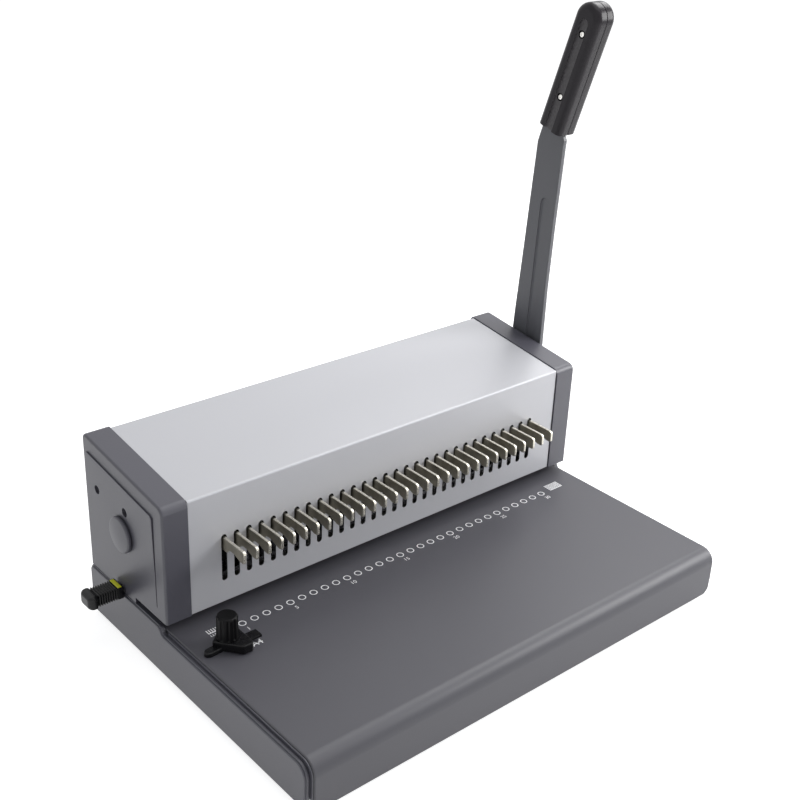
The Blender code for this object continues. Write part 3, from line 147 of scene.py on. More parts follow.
def soft_box(name, place, size, watts):
    """A square area lamp that faces the middle of the machine."""
    lamp = bpy.data.lights.new(name, "AREA")
    lamp.shape = "SQUARE"
    lamp.size = size
    lamp.energy = watts
    box = bpy.data.objects.new(name, lamp)
    box.location = place
    aim = Vector((0, 0, 0.08)) - Vector(place)
    box.rotation_euler = aim.to_track_quat("-Z", "Y").to_euler()
    bpy.context.scene.collection.objects.link(box)
    return box


soft_box("key_lamp", (0.30, -0.20, 1.6), 1.2, 5.7)
soft_box("right_lamp", (0.85, 0.25, 1.05), 0.6, 5.2)
soft_box("front_lamp", (0.80, -0.50, 0.55), 0.5, 6.8)
soft_box("fill_lamp", (-1.2, -0.6, 0.9), 0.9, 0.4)

# The bottom pan
# A steel tray that closes the base from below, its long edges folded up in round bends of 8.4 mm and its
# front turned up behind the sheet. It is painted with the same fine grey powder coat as the sheet.


def group_sockets(group, inputs, outputs):
    """Give a node group its named sockets, and return its input and output nodes."""
    for name, kind, value in inputs:
        socket = group.interface.new_socket(name, in_out="INPUT", socket_type="NodeSocket" + kind)
        socket.default_value = value
    for name, kind in outputs:
        group.interface.new_socket(name, in_out="OUTPUT", socket_type="NodeSocket" + kind)
    return group.nodes.new("NodeGroupInput"), group.nodes.new("NodeGroupOutput")


def noise_in(group, coordinates, scale, detail):
    """A noise texture on the given coordinates; its scale is a socket or a number."""
    noise = group.nodes.new("ShaderNodeTexNoise")
    noise.inputs["Detail"].default_value = detail
    group.links.new(coordinates, noise.inputs["Vector"])
    if isinstance(scale, (int, float)):
        noise.inputs["Scale"].default_value = scale
    else:
        group.links.new(scale, noise.inputs["Scale"])
    return noise.outputs["Fac"]


def sum_in(group, operation, first, second):
    """One Math node; each term is a socket or a number."""
    node = group.nodes.new("ShaderNodeMath")
    node.operation = operation
    for term, socket in zip((first, second), node.inputs):
        if isinstance(term, (int, float)):
            socket.default_value = term
        else:
            group.links.new(term, socket)
    return node.outputs[0]


# Slow drift of tone and gloss over a coated or moulded surface, with a fine grain for its bump
drift = bpy.data.node_groups.new("surface_drift", "ShaderNodeTree")
asked, given = group_sockets(
    drift,
    [("Color", "Color", (0.5, 0.5, 0.5, 1.0)), ("Tone Drift", "Float", 0.04), ("Roughness", "Float", 0.4),
     ("Gloss Drift", "Float", 0.04), ("Patch Scale", "Float", 14.0), ("Grain Scale", "Float", 1800.0)],
    [("Color", "Color"), ("Roughness", "Float"), ("Grain", "Float")])
spot = drift.nodes.new("ShaderNodeTexCoord").outputs["Object"]
patch = sum_in(drift, "SUBTRACT", noise_in(drift, spot, asked.outputs["Patch Scale"], 3.0), 0.5)
speck = sum_in(drift, "SUBTRACT", noise_in(drift, spot, asked.outputs["Grain Scale"], 2.0), 0.5)
tone = sum_in(drift, "ADD", patch, sum_in(drift, "MULTIPLY", speck, 0.6))
tone = sum_in(drift, "ADD", 1.0, sum_in(drift, "MULTIPLY", tone, asked.outputs["Tone Drift"]))
tinted = drift.nodes.new("ShaderNodeVectorMath")
tinted.operation = "SCALE"
drift.links.new(asked.outputs["Color"], tinted.inputs[0])
drift.links.new(tone, tinted.inputs["Scale"])
drift.links.new(tinted.outputs[0], given.inputs["Color"])
gloss = sum_in(drift, "MULTIPLY", sum_in(drift, "ADD", patch, speck), asked.outputs["Gloss Drift"])
drift.links.new(sum_in(drift, "ADD", asked.outputs["Roughness"], gloss), given.inputs["Roughness"])
drift.links.new(speck, given.inputs["Grain"])


def finished(name, group, values, height, bump):
    """A material fed by one of the surface groups; height is the output that its bump reads."""
    material = bpy.data.materials.new(name)
    material.use_nodes = True
    tree = material.node_tree
    shader = tree.nodes["Principled BSDF"]
    surface = tree.nodes.new("ShaderNodeGroup")
    surface.node_tree = group
    for socket, value in values.items():
        surface.inputs[socket].default_value = value
    relief = tree.nodes.new("ShaderNodeBump")
    relief.inputs["Strength"].default_value = 1.0
    relief.inputs["Distance"].default_value = bump
    tree.links.new(surface.outputs[height], relief.inputs["Height"])
    tree.links.new(relief.outputs["Normal"], shader.inputs["Normal"])
    tree.links.new(surface.outputs["Color"], shader.inputs["Base Color"])
    tree.links.new(surface.outputs["Roughness"], shader.inputs["Roughness"])
    return material


def coated(name, colour, roughness, metallic=0.0, tone=0.10, gloss=0.10, patch=14.0, grain=1500.0,
           bump=0.00002, coat=0.0, coat_roughness=0.2, shine=0.5):
    """A painted, moulded or plated finish: slow drift of tone and gloss, and a fine grain."""
    material = finished(name, drift, {"Color": (*colour, 1.0), "Tone Drift": tone, "Roughness": roughness,
                                      "Gloss Drift": gloss, "Patch Scale": patch, "Grain Scale": grain},
                        "Grain", bump)
    shader = material.node_tree.nodes["Principled BSDF"]
    shader.inputs["Metallic"].default_value = metallic
    shader.inputs["Coat Weight"].default_value = coat
    shader.inputs["Coat Roughness"].default_value = coat_roughness
    shader.inputs["Specular IOR Level"].default_value = shine
    return material



base_grey = (0.081, 0.080, 0.093)
powder_coat = coated("grey_powder_coat", base_grey, 0.42, tone=0.08, gloss=0.06, bump=0.000012)


def arc(centre, radius, start, end, count):
    """Points on an arc, angles in degrees."""
    turns = [radians(start + (end - start) * step / count) for step in range(count + 1)]
    return [(centre[0] + radius * cos(turn), centre[1] + radius * sin(turn)) for turn in turns]


def stadium(start, end, half_width, count=8):
    """A slot's outline: two half circles about its two ends."""
    heading = degrees(atan2(end[1] - start[1], end[0] - start[0]))
    return (arc(end, half_width, heading - 90, heading + 90, count)
            + arc(start, half_width, heading + 90, heading + 270, count))


PLANE_AXES = {"X": (0, 1, 2), "Y": (1, 0, 2), "Z": (2, 0, 1)}


def slab(outline, across, low, high):
    """A solid bmesh: a flat outline carried from low to high along the axis across it."""
    axis, first, second = PLANE_AXES[across]
    bm = bmesh.new()
    corners = []
    for a, b in outline:
        spot = [0.0, 0.0, 0.0]
        spot[axis], spot[first], spot[second] = low, a, b
        corners.append(bm.verts.new(spot))
    face = bm.faces.new(corners)
    made = bmesh.ops.extrude_face_region(bm, geom=[face])
    grown = [item for item in made["geom"] if isinstance(item, bmesh.types.BMVert)]
    step = [0.0, 0.0, 0.0]
    step[axis] = high - low
    bmesh.ops.translate(bm, vec=step, verts=grown)
    bmesh.ops.recalc_face_normals(bm, faces=bm.faces)
    return bm


def block(x, y, z):
    """A box bmesh between two limits on each axis."""
    low = Vector((x[0], y[0], z[0]))
    high = Vector((x[1], y[1], z[1]))
    bm = bmesh.new()
    bmesh.ops.create_cube(bm, size=1.0)
    bmesh.ops.scale(bm, vec=high - low, verts=bm.verts)
    bmesh.ops.translate(bm, vec=(low + high) / 2, verts=bm.verts)
    return bm


def span_at(side, near, far):
    """Two distances from the middle plane as limits along X, at the left (-1) or the right (1)."""
    return sorted((side * near, side * far))


def beyond(limit):
    """A test for edges that lie at least this far out from the middle plane."""
    return lambda a, b: min(abs(a.x), abs(b.x)) > limit - 0.1 * MM


def at_x(plane):
    """A test for edges that lie in one plane across the machine."""
    return lambda a, b: max(abs(a.x - plane), abs(b.x - plane)) < 0.1 * MM


def runs_upright(a, b):
    """A test for edges that don't run along X."""
    return abs(a.x - b.x) < 1e-6


def soften(bm, width, segments=3, wanted=None, angle=35):
    """Round the sharp edges, or those whose two ends pass the test."""
    edges = []
    for edge in bm.edges:
        if len(edge.link_faces) != 2 or edge.calc_face_angle(0.0) < radians(angle):
            continue
        if wanted is None or wanted(edge.verts[0].co, edge.verts[1].co):
            edges.append(edge)
    bmesh.ops.bevel(bm, geom=edges, offset=width, offset_type="OFFSET", segments=segments, profile=0.5,
                    affect="EDGES", material=-1, clamp_overlap=True)
    return bm


def combine(solid, tool, operation="DIFFERENCE"):
    """Cut or join two closed solids with an exact Boolean; both are used up."""
    pair = []
    for word, bm in (("solid", solid), ("tool", tool)):
        mesh = bpy.data.meshes.new(word)
        bm.to_mesh(mesh)
        bm.free()
        obj = bpy.data.objects.new(word, mesh)
        bpy.context.scene.collection.objects.link(obj)
        pair.append(obj)
    modifier = pair[0].modifiers.new("combine", "BOOLEAN")
    modifier.operation = operation
    modifier.solver = "EXACT"
    modifier.object = pair[1]
    made = bpy.data.meshes.new_from_object(pair[0].evaluated_get(bpy.context.evaluated_depsgraph_get()))
    result = bmesh.new()
    result.from_mesh(made)
    bpy.data.meshes.remove(made)
    for obj in pair:
        mesh = obj.data
        bpy.data.objects.remove(obj)
        bpy.data.meshes.remove(mesh)
    return result


def merged(parts):
    """One bmesh from several loose ones, which are used up."""
    whole = bmesh.new()
    for part in parts:
        mesh = bpy.data.meshes.new("part")
        part.to_mesh(mesh)
        part.free()
        whole.from_mesh(mesh)
        bpy.data.meshes.remove(mesh)
    return whole


def fit(bm, name, material, body, stands_for=(), sharp=32):
    """Make the finished piece: shaded, painted, riding on its body, if any, and standing for its solids."""
    mesh = bpy.data.meshes.new(name)
    bm.to_mesh(mesh)
    bm.free()
    mesh.shade_smooth()
    mesh.set_sharp_from_angle(angle=radians(sharp))
    for finish in material if isinstance(material, (list, tuple)) else [material]:
        mesh.materials.append(finish)
    piece = bpy.data.objects.new(name, mesh)
    bpy.context.scene.collection.objects.link(piece)
    shading = piece.modifiers.new("flat_face_shading", "WEIGHTED_NORMAL")
    shading.keep_sharp = True
    if body:
        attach(piece, body)
    if stands_for:
        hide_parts(*stands_for)
    return piece


base_corner = 9.0 * MM
pan_low, pan_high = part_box("base_pan")
pan_wall = 1.5 * MM
pan_corner = base_corner - 0.6 * MM


def pan_line(inset):
    """The pan's section: down one side, across the floor and up the other, drawn in by inset."""
    reach = pan_high.x - pan_corner
    middle = pan_low.z + pan_corner
    radius = pan_corner - inset
    return ([(inset - pan_high.x, pan_high.z)] + arc((-reach, middle), radius, 180, 270, 14)
            + arc((reach, middle), radius, 270, 360, 14) + [(pan_high.x - inset, pan_high.z)])


pan = slab(pan_line(0.0) + pan_line(pan_wall)[::-1], "Y", pan_low.y, pan_high.y)
pan = combine(pan, slab(pan_line(0.0), "Y", pan_low.y, pan_low.y + pan_wall), "UNION")
fit(pan, "bottom_pan", powder_coat, "base", ["base_pan"])

# The platen sheet
# One steel sheet folded down over the front of the base and painted with fine grey powder coat.
# Its lower front corners are rounded, and the clamp of the edge guide runs in a slot at its left.
platen_low, platen_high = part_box("platen_cover")
bed_z = platen_high.z
sheet = 1.5 * MM
front_bend = 10.5 * MM
bend_centre = (platen_low.y + front_bend, bed_z - front_bend)


def platen_line(inset):
    """The sheet's section from its front foot over the bend to the back, drawn in by inset."""
    return ([(platen_low.y + inset, platen_low.z)] + arc(bend_centre, front_bend - inset, 180, 90, 20)
            + [(platen_high.y, bed_z - inset)])


outline = platen_line(0.0) + platen_line(sheet)[::-1]
platen = slab(outline, "X", platen_low.x, platen_high.x)


def on_outer_rim(a, b):
    """Edges of the sheet's two ends that lie on its outer face."""
    return beyond(platen_high.x)(a, b) and outside_of_sheet(a) and outside_of_sheet(b)


def outside_of_sheet(p):
    return p.z > bed_z - 0.1 * MM or p.y < platen_low.y + 0.1 * MM or (
        hypot(p.y - bend_centre[0], p.z - bend_centre[1]) > front_bend - 0.3 * MM
        and p.y < bend_centre[0] and p.z > bend_centre[1])


soften(platen, 1.1 * MM, 4, on_outer_rim, angle=60)
for side in (-1, 1):
    end_x = side * platen_high.x
    centre = (end_x - side * base_corner, platen_low.z + base_corner)
    shape = [(end_x + side * MM, platen_low.z - MM), (end_x + side * MM, centre[1])]
    shape += arc(centre, base_corner, 360 if side > 0 else 180, 270, 14)
    shape += [(centre[0], platen_low.z - MM)]
    platen = combine(platen, slab(shape, "Y", platen_low.y - MM, bend_centre[0]))
stud_low, stud_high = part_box("clamp_stud")
clamp = (stud_low + stud_high) / 2
slot_reach = 6.0 * MM
slot_width = 5.2 * MM
slot_shape = stadium((clamp.x - slot_reach, clamp.y), (clamp.x + slot_reach, clamp.y), slot_width / 2)
platen = combine(platen, slab(slot_shape, "Z", bed_z - 5 * MM, bed_z + 5 * MM))
fit(platen, "platen_sheet", powder_coat, "base", ["platen_cover"])

# The printed scale
# White ink printed on the platen: one ring for each hole with every fifth one numbered, the sheet size,
# and a comb mark at each end of the row.
holes = 30
pitch = 9.5 * MM
panel_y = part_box("top_cover")[0].y
ink_z = bed_z + 0.03 * MM
ring_y = panel_y - 19.1 * MM
ink = coated("white_ink", (0.97, 0.97, 0.98), 0.55, tone=0.1, gloss=0.1, patch=900.0, grain=6000.0,
             bump=0.000004)


def hole_x(number):
    """The middle of one hole of the row, counted from 1."""
    return (number - (holes + 1) / 2) * pitch


rings = []
for number in range(1, holes + 1):
    bm = bmesh.new()
    spun = [bm.verts.new((hole_x(number) + reach * MM, ring_y, ink_z)) for reach in (2.07, 2.75)]
    line = bm.edges.new(spun)
    bmesh.ops.spin(bm, geom=spun + [line], cent=(hole_x(number), ring_y, ink_z), axis=(0, 0, 1),
                   angle=2 * pi, steps=40, use_merge=True)
    rings.append(bm)


def comb_mark(x, y, teeth, tooth, bar):
    """A little comb: a bar at the front and upright teeth towards the back."""
    bar_y = y[0] + bar
    step = (x[1] - x[0] - tooth) / (teeth - 1)
    points = [(x[0], y[0]), (x[1], y[0])]
    for index in range(teeth):
        end = x[1] - index * step
        points += [(end, y[1]), (end - tooth, y[1])]
        if index < teeth - 1:
            points += [(end - tooth, bar_y), (end - step, bar_y)]
    bm = bmesh.new()
    bm.faces.new([bm.verts.new((a * MM, panel_y + b * MM, ink_z)) for a, b in points])
    return bm


rings.append(comb_mark((-161.2, -150.2), (-16.3, -12.1), 7, 0.6, 0.8))
rings.append(comb_mark((-161.2, -150.2), (-19.5, -17.6), 7, 0.5, 0.2))
rings.append(comb_mark((147.4, 160.2), (-20.2, -12.4), 10, 0.7, 0.5))
scale_rings = merged(rings)
for face in scale_rings.faces:
    if face.normal.z < 0:
        face.normal_flip()
fit(scale_rings, "scale_rings", ink, "base")


capital_share = 0.70
figure_height = 3.3 * MM
size_height = 4.7 * MM


def printed(name, text, height, left_x, foot_y, centred, weight=0.0):
    """Flat lettering on the platen, in plain capitals; weight makes its strokes thicker."""
    words = bpy.data.curves.new(name, "FONT")
    words.body = text
    words.size = height / capital_share
    words.align_x = "CENTER" if centred else "LEFT"
    words.resolution_u = 3
    words.offset = weight
    holder = bpy.data.objects.new(name + "_text", words)
    bpy.context.scene.collection.objects.link(holder)
    made = bpy.data.meshes.new_from_object(holder.evaluated_get(bpy.context.evaluated_depsgraph_get()))
    bpy.data.objects.remove(holder)
    made.transform(Matrix.Translation((left_x, foot_y, ink_z)))
    bm = bmesh.new()
    bm.from_mesh(made)
    bpy.data.meshes.remove(made)
    return bm


figures = []
for number in [1] + list(range(5, holes + 1, 5)):
    figures.append(printed("figure", str(number), figure_height, hole_x(number) + 0.3 * MM,
                           panel_y - 27.5 * MM, True))
figures.append(printed("size", "A4", size_height, -145.6 * MM, panel_y - 43.8 * MM, False, 0.06 * MM))
fit(merged(figures), "scale_figures", ink, "base")

# The back panel
# A flat steel plate that closes the base at the back round the opening of the chip tray. It has the
# same grey powder coat.
panel_low, panel_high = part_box("rear_panel")
tray_low, tray_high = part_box("chip_tray")
room = 0.5 * MM
rear = block(*zip(panel_low, panel_high))
soften(rear, 0.4 * MM, 2)
opening = block((tray_low.x - room, tray_high.x + room), (panel_low.y - MM, panel_high.y + MM),
                (tray_low.z - 0.3 * MM, tray_high.z + 0.3 * MM))
soften(opening, 0.8 * MM, 4, lambda a, b: runs_upright(a, b) and abs(a.z - b.z) < 1e-6)
rear = combine(rear, opening)
fit(rear, "back_panel", powder_coat, "base", ["rear_panel"])

# The feet
# Four black rubber discs pressed into the pan, a little domed at their rims, with a moulded dimple.


def turned(profile, axis, centre, steps=48):
    """A turned solid: the profile is (along the axis, radius), and centre its place on the other two."""
    order = {"X": (0, 1, 2), "Y": (1, 2, 0), "Z": (2, 0, 1)}[axis]
    bm = bmesh.new()
    verts = []
    for along, radius in profile:
        spot = [0.0, 0.0, 0.0]
        spot[order[0]] = along
        spot[order[1]] = radius
        verts.append(bm.verts.new(spot))
    edges = [bm.edges.new(pair) for pair in zip(verts, verts[1:])]
    turn = [0.0, 0.0, 0.0]
    turn[order[0]] = 1.0
    bmesh.ops.spin(bm, geom=verts + edges, cent=(0, 0, 0), axis=turn, angle=2 * pi,
                   steps=steps, use_merge=True)
    bmesh.ops.remove_doubles(bm, verts=bm.verts, dist=1e-6)
    bmesh.ops.recalc_face_normals(bm, faces=bm.faces)
    others = [index for index in (0, 1, 2) if index != order[0]]
    shift = [0.0, 0.0, 0.0]
    shift[others[0]], shift[others[1]] = centre
    bmesh.ops.translate(bm, vec=shift, verts=bm.verts)
    return bm


def pin(axis, start, end, radius, centre, steps=32):
    """A plain round bar along an axis, which also serves to cut a bore."""
    return turned([(start, 0), (start, radius), (end, radius), (end, 0)], axis, centre, steps)


rubber = coated("black_rubber", (0.016, 0.016, 0.016), 0.75, tone=0.3, gloss=0.15, patch=120.0,
                grain=2600.0, bump=0.00004)
foot_rim = 0.7 * MM
dimple = 3.0 * MM
dimple_edge = 3.8 * MM
dimple_deep = 0.5 * MM
for name in ("foot_front_left", "foot_front_right", "foot_rear_left", "foot_rear_right"):
    low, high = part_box(name)
    middle = (low + high) / 2
    reach = (high.x - low.x) / 2
    profile = [(low.z + dimple_deep, 0), (low.z + dimple_deep, dimple), (low.z, dimple_edge)]
    profile += [(low.z + foot_rim + z, reach - foot_rim + r)
                for r, z in arc((0, 0), foot_rim, 270, 360, 6)]
    profile += [(high.z, reach), (high.z, 0)]
    fit(turned(profile, "Z", (middle.x, middle.y)), "rubber_" + name, rubber, "base", [name])

# The side mouldings
# Grey moulded plastic strips along both sides of the base: a thin lip and a channel beside the platen, a
# ridge and a lower rounded edge, and a step up to the rim that the cheek stands on.
plastic_grey = (0.084, 0.083, 0.102)
moulding = coated("grey_moulding", plastic_grey, 0.40, tone=0.08, gloss=0.08, grain=1300.0, bump=0.000018,
                  shine=0.6)
ledge_z = bed_z - 2.7 * MM
trim_bend = 9.0 * MM
trim_foot = 10.0 * MM
ramp_r = 4.45 * MM
ramp_turn = 64.0
ramp_start = panel_y + 2.0 * MM
ramp_end = ramp_start + 2 * ramp_r * sin(radians(ramp_turn))
trim_rear_r = 3.0 * MM
trim_in = 179.6 * MM
ridge_in = 180.9 * MM
ridge_out = 182.4 * MM
trim_lap = 0.2 * MM


def trim_line(low, high, inset):
    """The side view of a moulding, its top drawn down by inset; the step up is an S of two arcs."""
    top = ledge_z - inset
    rim = high.z - inset
    front = low.y + inset
    line = arc((front + trim_foot, low.z + trim_foot), trim_foot, 270, 180, 12)
    line += arc((front + trim_bend, top - trim_bend), trim_bend, 180, 90, 14)
    line += arc((ramp_start, top + ramp_r), ramp_r, 270, 270 + ramp_turn, 8)
    line += arc((ramp_end, rim - ramp_r), ramp_r, 90 + ramp_turn, 90, 8)[1:]
    line += arc((high.y - trim_rear_r, rim - trim_rear_r), trim_rear_r, 90, 0, 8)
    return line + [(high.y, low.z)]


# The lip follows the sheet's bend at the front, a little below its face
lip_drop = 0.9 * MM
lip_depth = 6.0 * MM
lip_thick = 0.6 * MM
lip_foot = platen_low.z + base_corner + 0.5 * MM
lip_line = [(platen_low.y + lip_drop, lip_foot)]
lip_line += arc(bend_centre, front_bend - lip_drop, 180, 90, 14)
lip_line += [(ramp_start, bed_z - lip_drop), (ramp_start, bed_z - lip_depth)]
lip_line += arc(bend_centre, front_bend - lip_depth, 90, 180, 10)
lip_line += [(platen_low.y + lip_depth, lip_foot)]
for side, word in ((-1, "left"), (1, "right")):
    low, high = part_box("side_trim_" + word)
    trim_out = max(abs(low.x), abs(high.x))
    trim = slab(trim_line(low, high, 0.0), "X", *span_at(side, ridge_in, ridge_out))
    soften(trim, 0.25 * MM, 3, runs_upright, angle=60)
    channel_x = span_at(side, trim_in, ridge_in + trim_lap)
    channel = slab(trim_line(low, high, 0.5 * MM), "X", *channel_x)
    trim = combine(trim, channel, "UNION")
    edge = slab(trim_line(low, high, 1.1 * MM), "X", *span_at(side, ridge_out - trim_lap, trim_out))
    soften(edge, 0.8 * MM, 5, beyond(trim_out), angle=60)
    trim = combine(trim, edge, "UNION")
    lip = slab(lip_line, "X", *span_at(side, trim_in, trim_in + lip_thick))
    trim = combine(trim, lip, "UNION")
    cheek_in = abs(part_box("cheek_" + word)[0 if side > 0 else 1].x)
    shelf_x = span_at(side, cheek_in + trim_lap, ridge_in + 0.5 * MM)
    shelf = block(shelf_x, (ramp_end + 0.5 * MM, high.y - trim_rear_r),
                  (bed_z + 0.3 * MM, high.z - 0.05 * MM))
    trim = combine(trim, shelf, "UNION")
    fit(trim, "side_moulding_" + word, moulding, "base", ["side_trim_" + word])

# The cheeks
# Hollow grey mouldings over the two ends of the head: a rounded rim, a raised field with a soft border,
# two sunk screw holes and a hole for the shaft. The left one also lets the margin rod through.
cheek_low, cheek_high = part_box("cheek_left")
cheek_front = cheek_low.y
cheek_rear = cheek_high.y
top_rise = 0.125
cheek_slope = atan2(top_rise, 1.0)
rear_radius = 3.6 * MM
front_radius = 5.4 * MM
cheek_top_front = 128.4 * MM
lip_z = bed_z + 6.8 * MM
lip_y = panel_y + 38.0 * MM
foot_z = cheek_low.z
shaft_low, shaft_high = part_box("main_shaft")
shaft = (shaft_low + shaft_high) / 2
shaft_place = (shaft.y, shaft.z)
cheek_screws = ((panel_y + 80.0 * MM, bed_z + 68.3 * MM), (panel_y + 44.2 * MM, bed_z + 68.3 * MM))


def cheek_outline(inset):
    """The side shape of the head, drawn in by inset; its top rises a little to the back."""
    def top_z(y):
        return cheek_top_front + top_rise * (y - cheek_front) - inset / cos(cheek_slope)

    near = max(front_radius - inset, MM)
    far = max(rear_radius - inset, MM)
    tilt = degrees(cheek_slope)
    front_y = cheek_front + inset + near
    rear_y = cheek_rear - inset - far
    points = [(cheek_rear - inset, foot_z + inset)]
    points += arc((rear_y, top_z(rear_y) - far / cos(cheek_slope)), far, 0, 90 + tilt, 10)
    points += arc((front_y, top_z(front_y) - near / cos(cheek_slope)), near, 90 + tilt, 180, 10)
    points += [(cheek_front + inset, lip_z + inset), (lip_y + inset, lip_z + inset),
               (lip_y + inset, foot_z + inset)]
    return points


def sunk_hole(inner, floor, outer, bore, sink, centre):
    """A cutter for a screw hole along X with a wider sink for the head."""
    return turned([(inner, 0), (inner, bore), (floor, bore), (floor, sink), (outer, sink), (outer, 0)], "X",
                  centre, 32)


cheek_wall = 3.0 * MM
cheek_face = 182.2 * MM
sunk_floor = 177.5 * MM
screw_boss = 5.4 * MM
screw_bore = 1.8 * MM
screw_sink = 3.1 * MM
rod_place = (panel_y + 58.0 * MM, bed_z + 4.6 * MM)
notch_half = 2.8 * MM
for side, word in ((-1, "left"), (1, "right")):
    low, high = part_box("cheek_" + word)
    inner_x = abs(low.x if side > 0 else high.x)
    face_x = cheek_face
    cheek = slab(cheek_outline(0.0), "X", *span_at(side, inner_x, face_x))
    soften(cheek, 1.7 * MM, 6, lambda a, b: beyond(face_x)(a, b)
           and max(a.z, b.z) > lip_z + 0.1 * MM, angle=60)
    soften(cheek, 0.35 * MM, 2, lambda a, b: max(abs(a.x), abs(b.x)) < inner_x + 0.1 * MM, angle=60)
    cavity = slab(cheek_outline(cheek_wall), "X", *span_at(side, inner_x - 2 * MM, face_x - cheek_wall))
    cheek = combine(cheek, cavity)

    # The raised field runs out into the cheek at its foot
    field_rise = 1.0 * MM
    field_front = panel_y + 10.4 * MM
    field_rear = cheek_rear - 4.5 * MM
    field_low = bed_z + 15.0 * MM
    field_drop = 10.8 * MM
    top_front = cheek_top_front + top_rise * (field_front - cheek_front) - field_drop
    top_rear = cheek_top_front + top_rise * (field_rear - cheek_front) - field_drop
    shape = [(field_front, field_low), (field_rear, field_low), (field_rear, top_rear),
             (field_front, top_front)]
    field = slab(shape, "X", *span_at(side, face_x - MM, face_x + field_rise))
    soften(field, 2.5 * MM, 5, lambda a, b: abs(a.x - b.x) > 0.5 * MM and min(a.z, b.z) > field_low + MM)
    soften(field, 0.3 * MM, 3, lambda a, b: min(abs(a.x), abs(b.x)) > face_x + 0.5 * MM
           and max(a.z, b.z) > field_low + MM)
    for vert in field.verts:
        if abs(vert.co.x) > face_x:
            fall = min(max((top_front - vert.co.z) / (top_front - field_low), 0.0), 1.0)
            vert.co.x -= side * fall * (field_rise + 0.05 * MM)
    cheek = combine(cheek, field, "UNION")
    groove = block(span_at(side, face_x - 0.7 * MM, face_x + 2 * field_rise),
                   (field_front - 0.8 * MM, field_front), (field_low, top_front - 0.5 * MM))
    cheek = combine(cheek, groove)

    for spot in cheek_screws:
        boss = pin("X", side * inner_x, side * (face_x - 1.5 * MM), screw_boss, spot)
        cheek = combine(cheek, boss, "UNION")
        hole = sunk_hole(side * (inner_x - 2 * MM), side * sunk_floor, side * (face_x + 3 * MM),
                         screw_bore, screw_sink, spot)
        cheek = combine(cheek, hole)
    shaft_hole = 9.8 * MM if side < 0 else 9.0 * MM
    bore = pin("X", side * (face_x - 5 * MM), side * (face_x + 3 * MM), shaft_hole, shaft_place, 40)
    cheek = combine(cheek, bore)
    if side < 0:
        notch = block((-face_x - 3 * MM, MM - inner_x),
                      (rod_place[0] - notch_half, rod_place[0] + notch_half),
                      (foot_z - 2 * MM, rod_place[1] + notch_half))
        cheek = combine(cheek, notch)
    fit(cheek, "cheek_moulding_" + word, moulding, "base", ["cheek_" + word])

# The cheek screws
# Zinc-plated pan heads with a cross recess, down in the sunk holes of the cheeks.


def cross_recess(axis_start, axis_end, centre, reach, width):
    """A cutter for the cross slot of a screw head on an X axis."""
    span = sorted((axis_start, axis_end))
    arms = []
    for half_y, half_z in ((reach, width), (width, reach)):
        arms.append(block(span, (centre[0] - half_y, centre[0] + half_y),
                          (centre[1] - half_z, centre[1] + half_z)))
    return combine(arms[0], arms[1], "UNION")


zinc = coated("bright_zinc", (0.60, 0.60, 0.58), 0.28, 1.0, tone=0.12, gloss=0.12, patch=300.0,
              bump=0.000006)
head_seat = 177.8 * MM
head_radius = 2.7 * MM
head_round = 0.9 * MM
shank_radius = 1.4 * MM
for side, word in ((-1, "left"), (1, "right")):
    for spot, end_word in zip(cheek_screws, ("rear", "front")):
        name = f"cheek_screw_{end_word}_{word}"
        low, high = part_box(name)
        shank_x, head_x = (low.x, high.x) if side > 0 else (high.x, low.x)
        seat_x = side * head_seat
        profile = [(shank_x, 0), (shank_x, shank_radius), (seat_x, shank_radius), (seat_x, head_radius)]
        profile += [(head_x - side * (head_round - a), head_radius - head_round + r)
                    for r, a in arc((0, 0), head_round, 0, 90, 5)]
        profile += [(head_x, 0)]
        recess = cross_recess(head_x + side * MM, head_x - side * 1.1 * MM, spot, 1.6 * MM, 0.35 * MM)
        fit(combine(turned(profile, "X", spot, 32), recess), name + "_head", zinc, "base", [name])

# The shaft end cap
# A plain round moulding clipped into the left cheek over the end of the shaft, with a rolled rim.
low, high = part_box("shaft_end_cap")
cap_reach = 12.5 * MM
seat_x = -(cheek_face + 1.4 * MM)
plug_x = high.x
plug_radius = 9.4 * MM
crown = 0.7 * MM
edge = 1.3 * MM
profile = [(low.x + crown * (index / 8) ** 2, (cap_reach - edge) * index / 8) for index in range(9)]
profile += [(low.x + crown + edge - a, cap_reach - edge + r) for r, a in arc((0, 0), edge, 90, 0, 8)[1:]]
profile += [(seat_x, cap_reach), (seat_x, plug_radius), (plug_x, plug_radius), (plug_x, 0)]
disc = turned(profile, "X", shaft_place, 64)
fit(disc, "shaft_end_disc", moulding, "base", ["shaft_end_cap"])

# The silver cover
# One steel sheet folded round the front, top and back of the head, painted satin silver. Thirty upright
# slots are punched through its front for the hooks; their walls are painted near-black as painted shade.
cover_low, cover_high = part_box("top_cover")
cover_sheet = 1.0 * MM
cover_bend = 1.6 * MM
below_cheek = 0.8 * MM
cover_rear = cover_high.y


def cover_line(inset):
    """The cover's section from the foot of the front over the top to the foot of the back."""
    def top_z(y):
        return cheek_top_front - below_cheek + top_rise * (y - cheek_front)

    tilt = degrees(cheek_slope)
    drop = cover_bend / cos(cheek_slope)
    near_y = cover_low.y + cover_bend
    far_y = cover_rear - cover_bend
    radius = cover_bend - inset
    return ([(cover_low.y + inset, lip_z)]
            + arc((near_y, top_z(near_y) - drop), radius, 180, 90 + tilt, 12)
            + arc((far_y, top_z(far_y) - drop), radius, 90 + tilt, 0, 12)
            + [(cover_rear - inset, cover_low.z)])


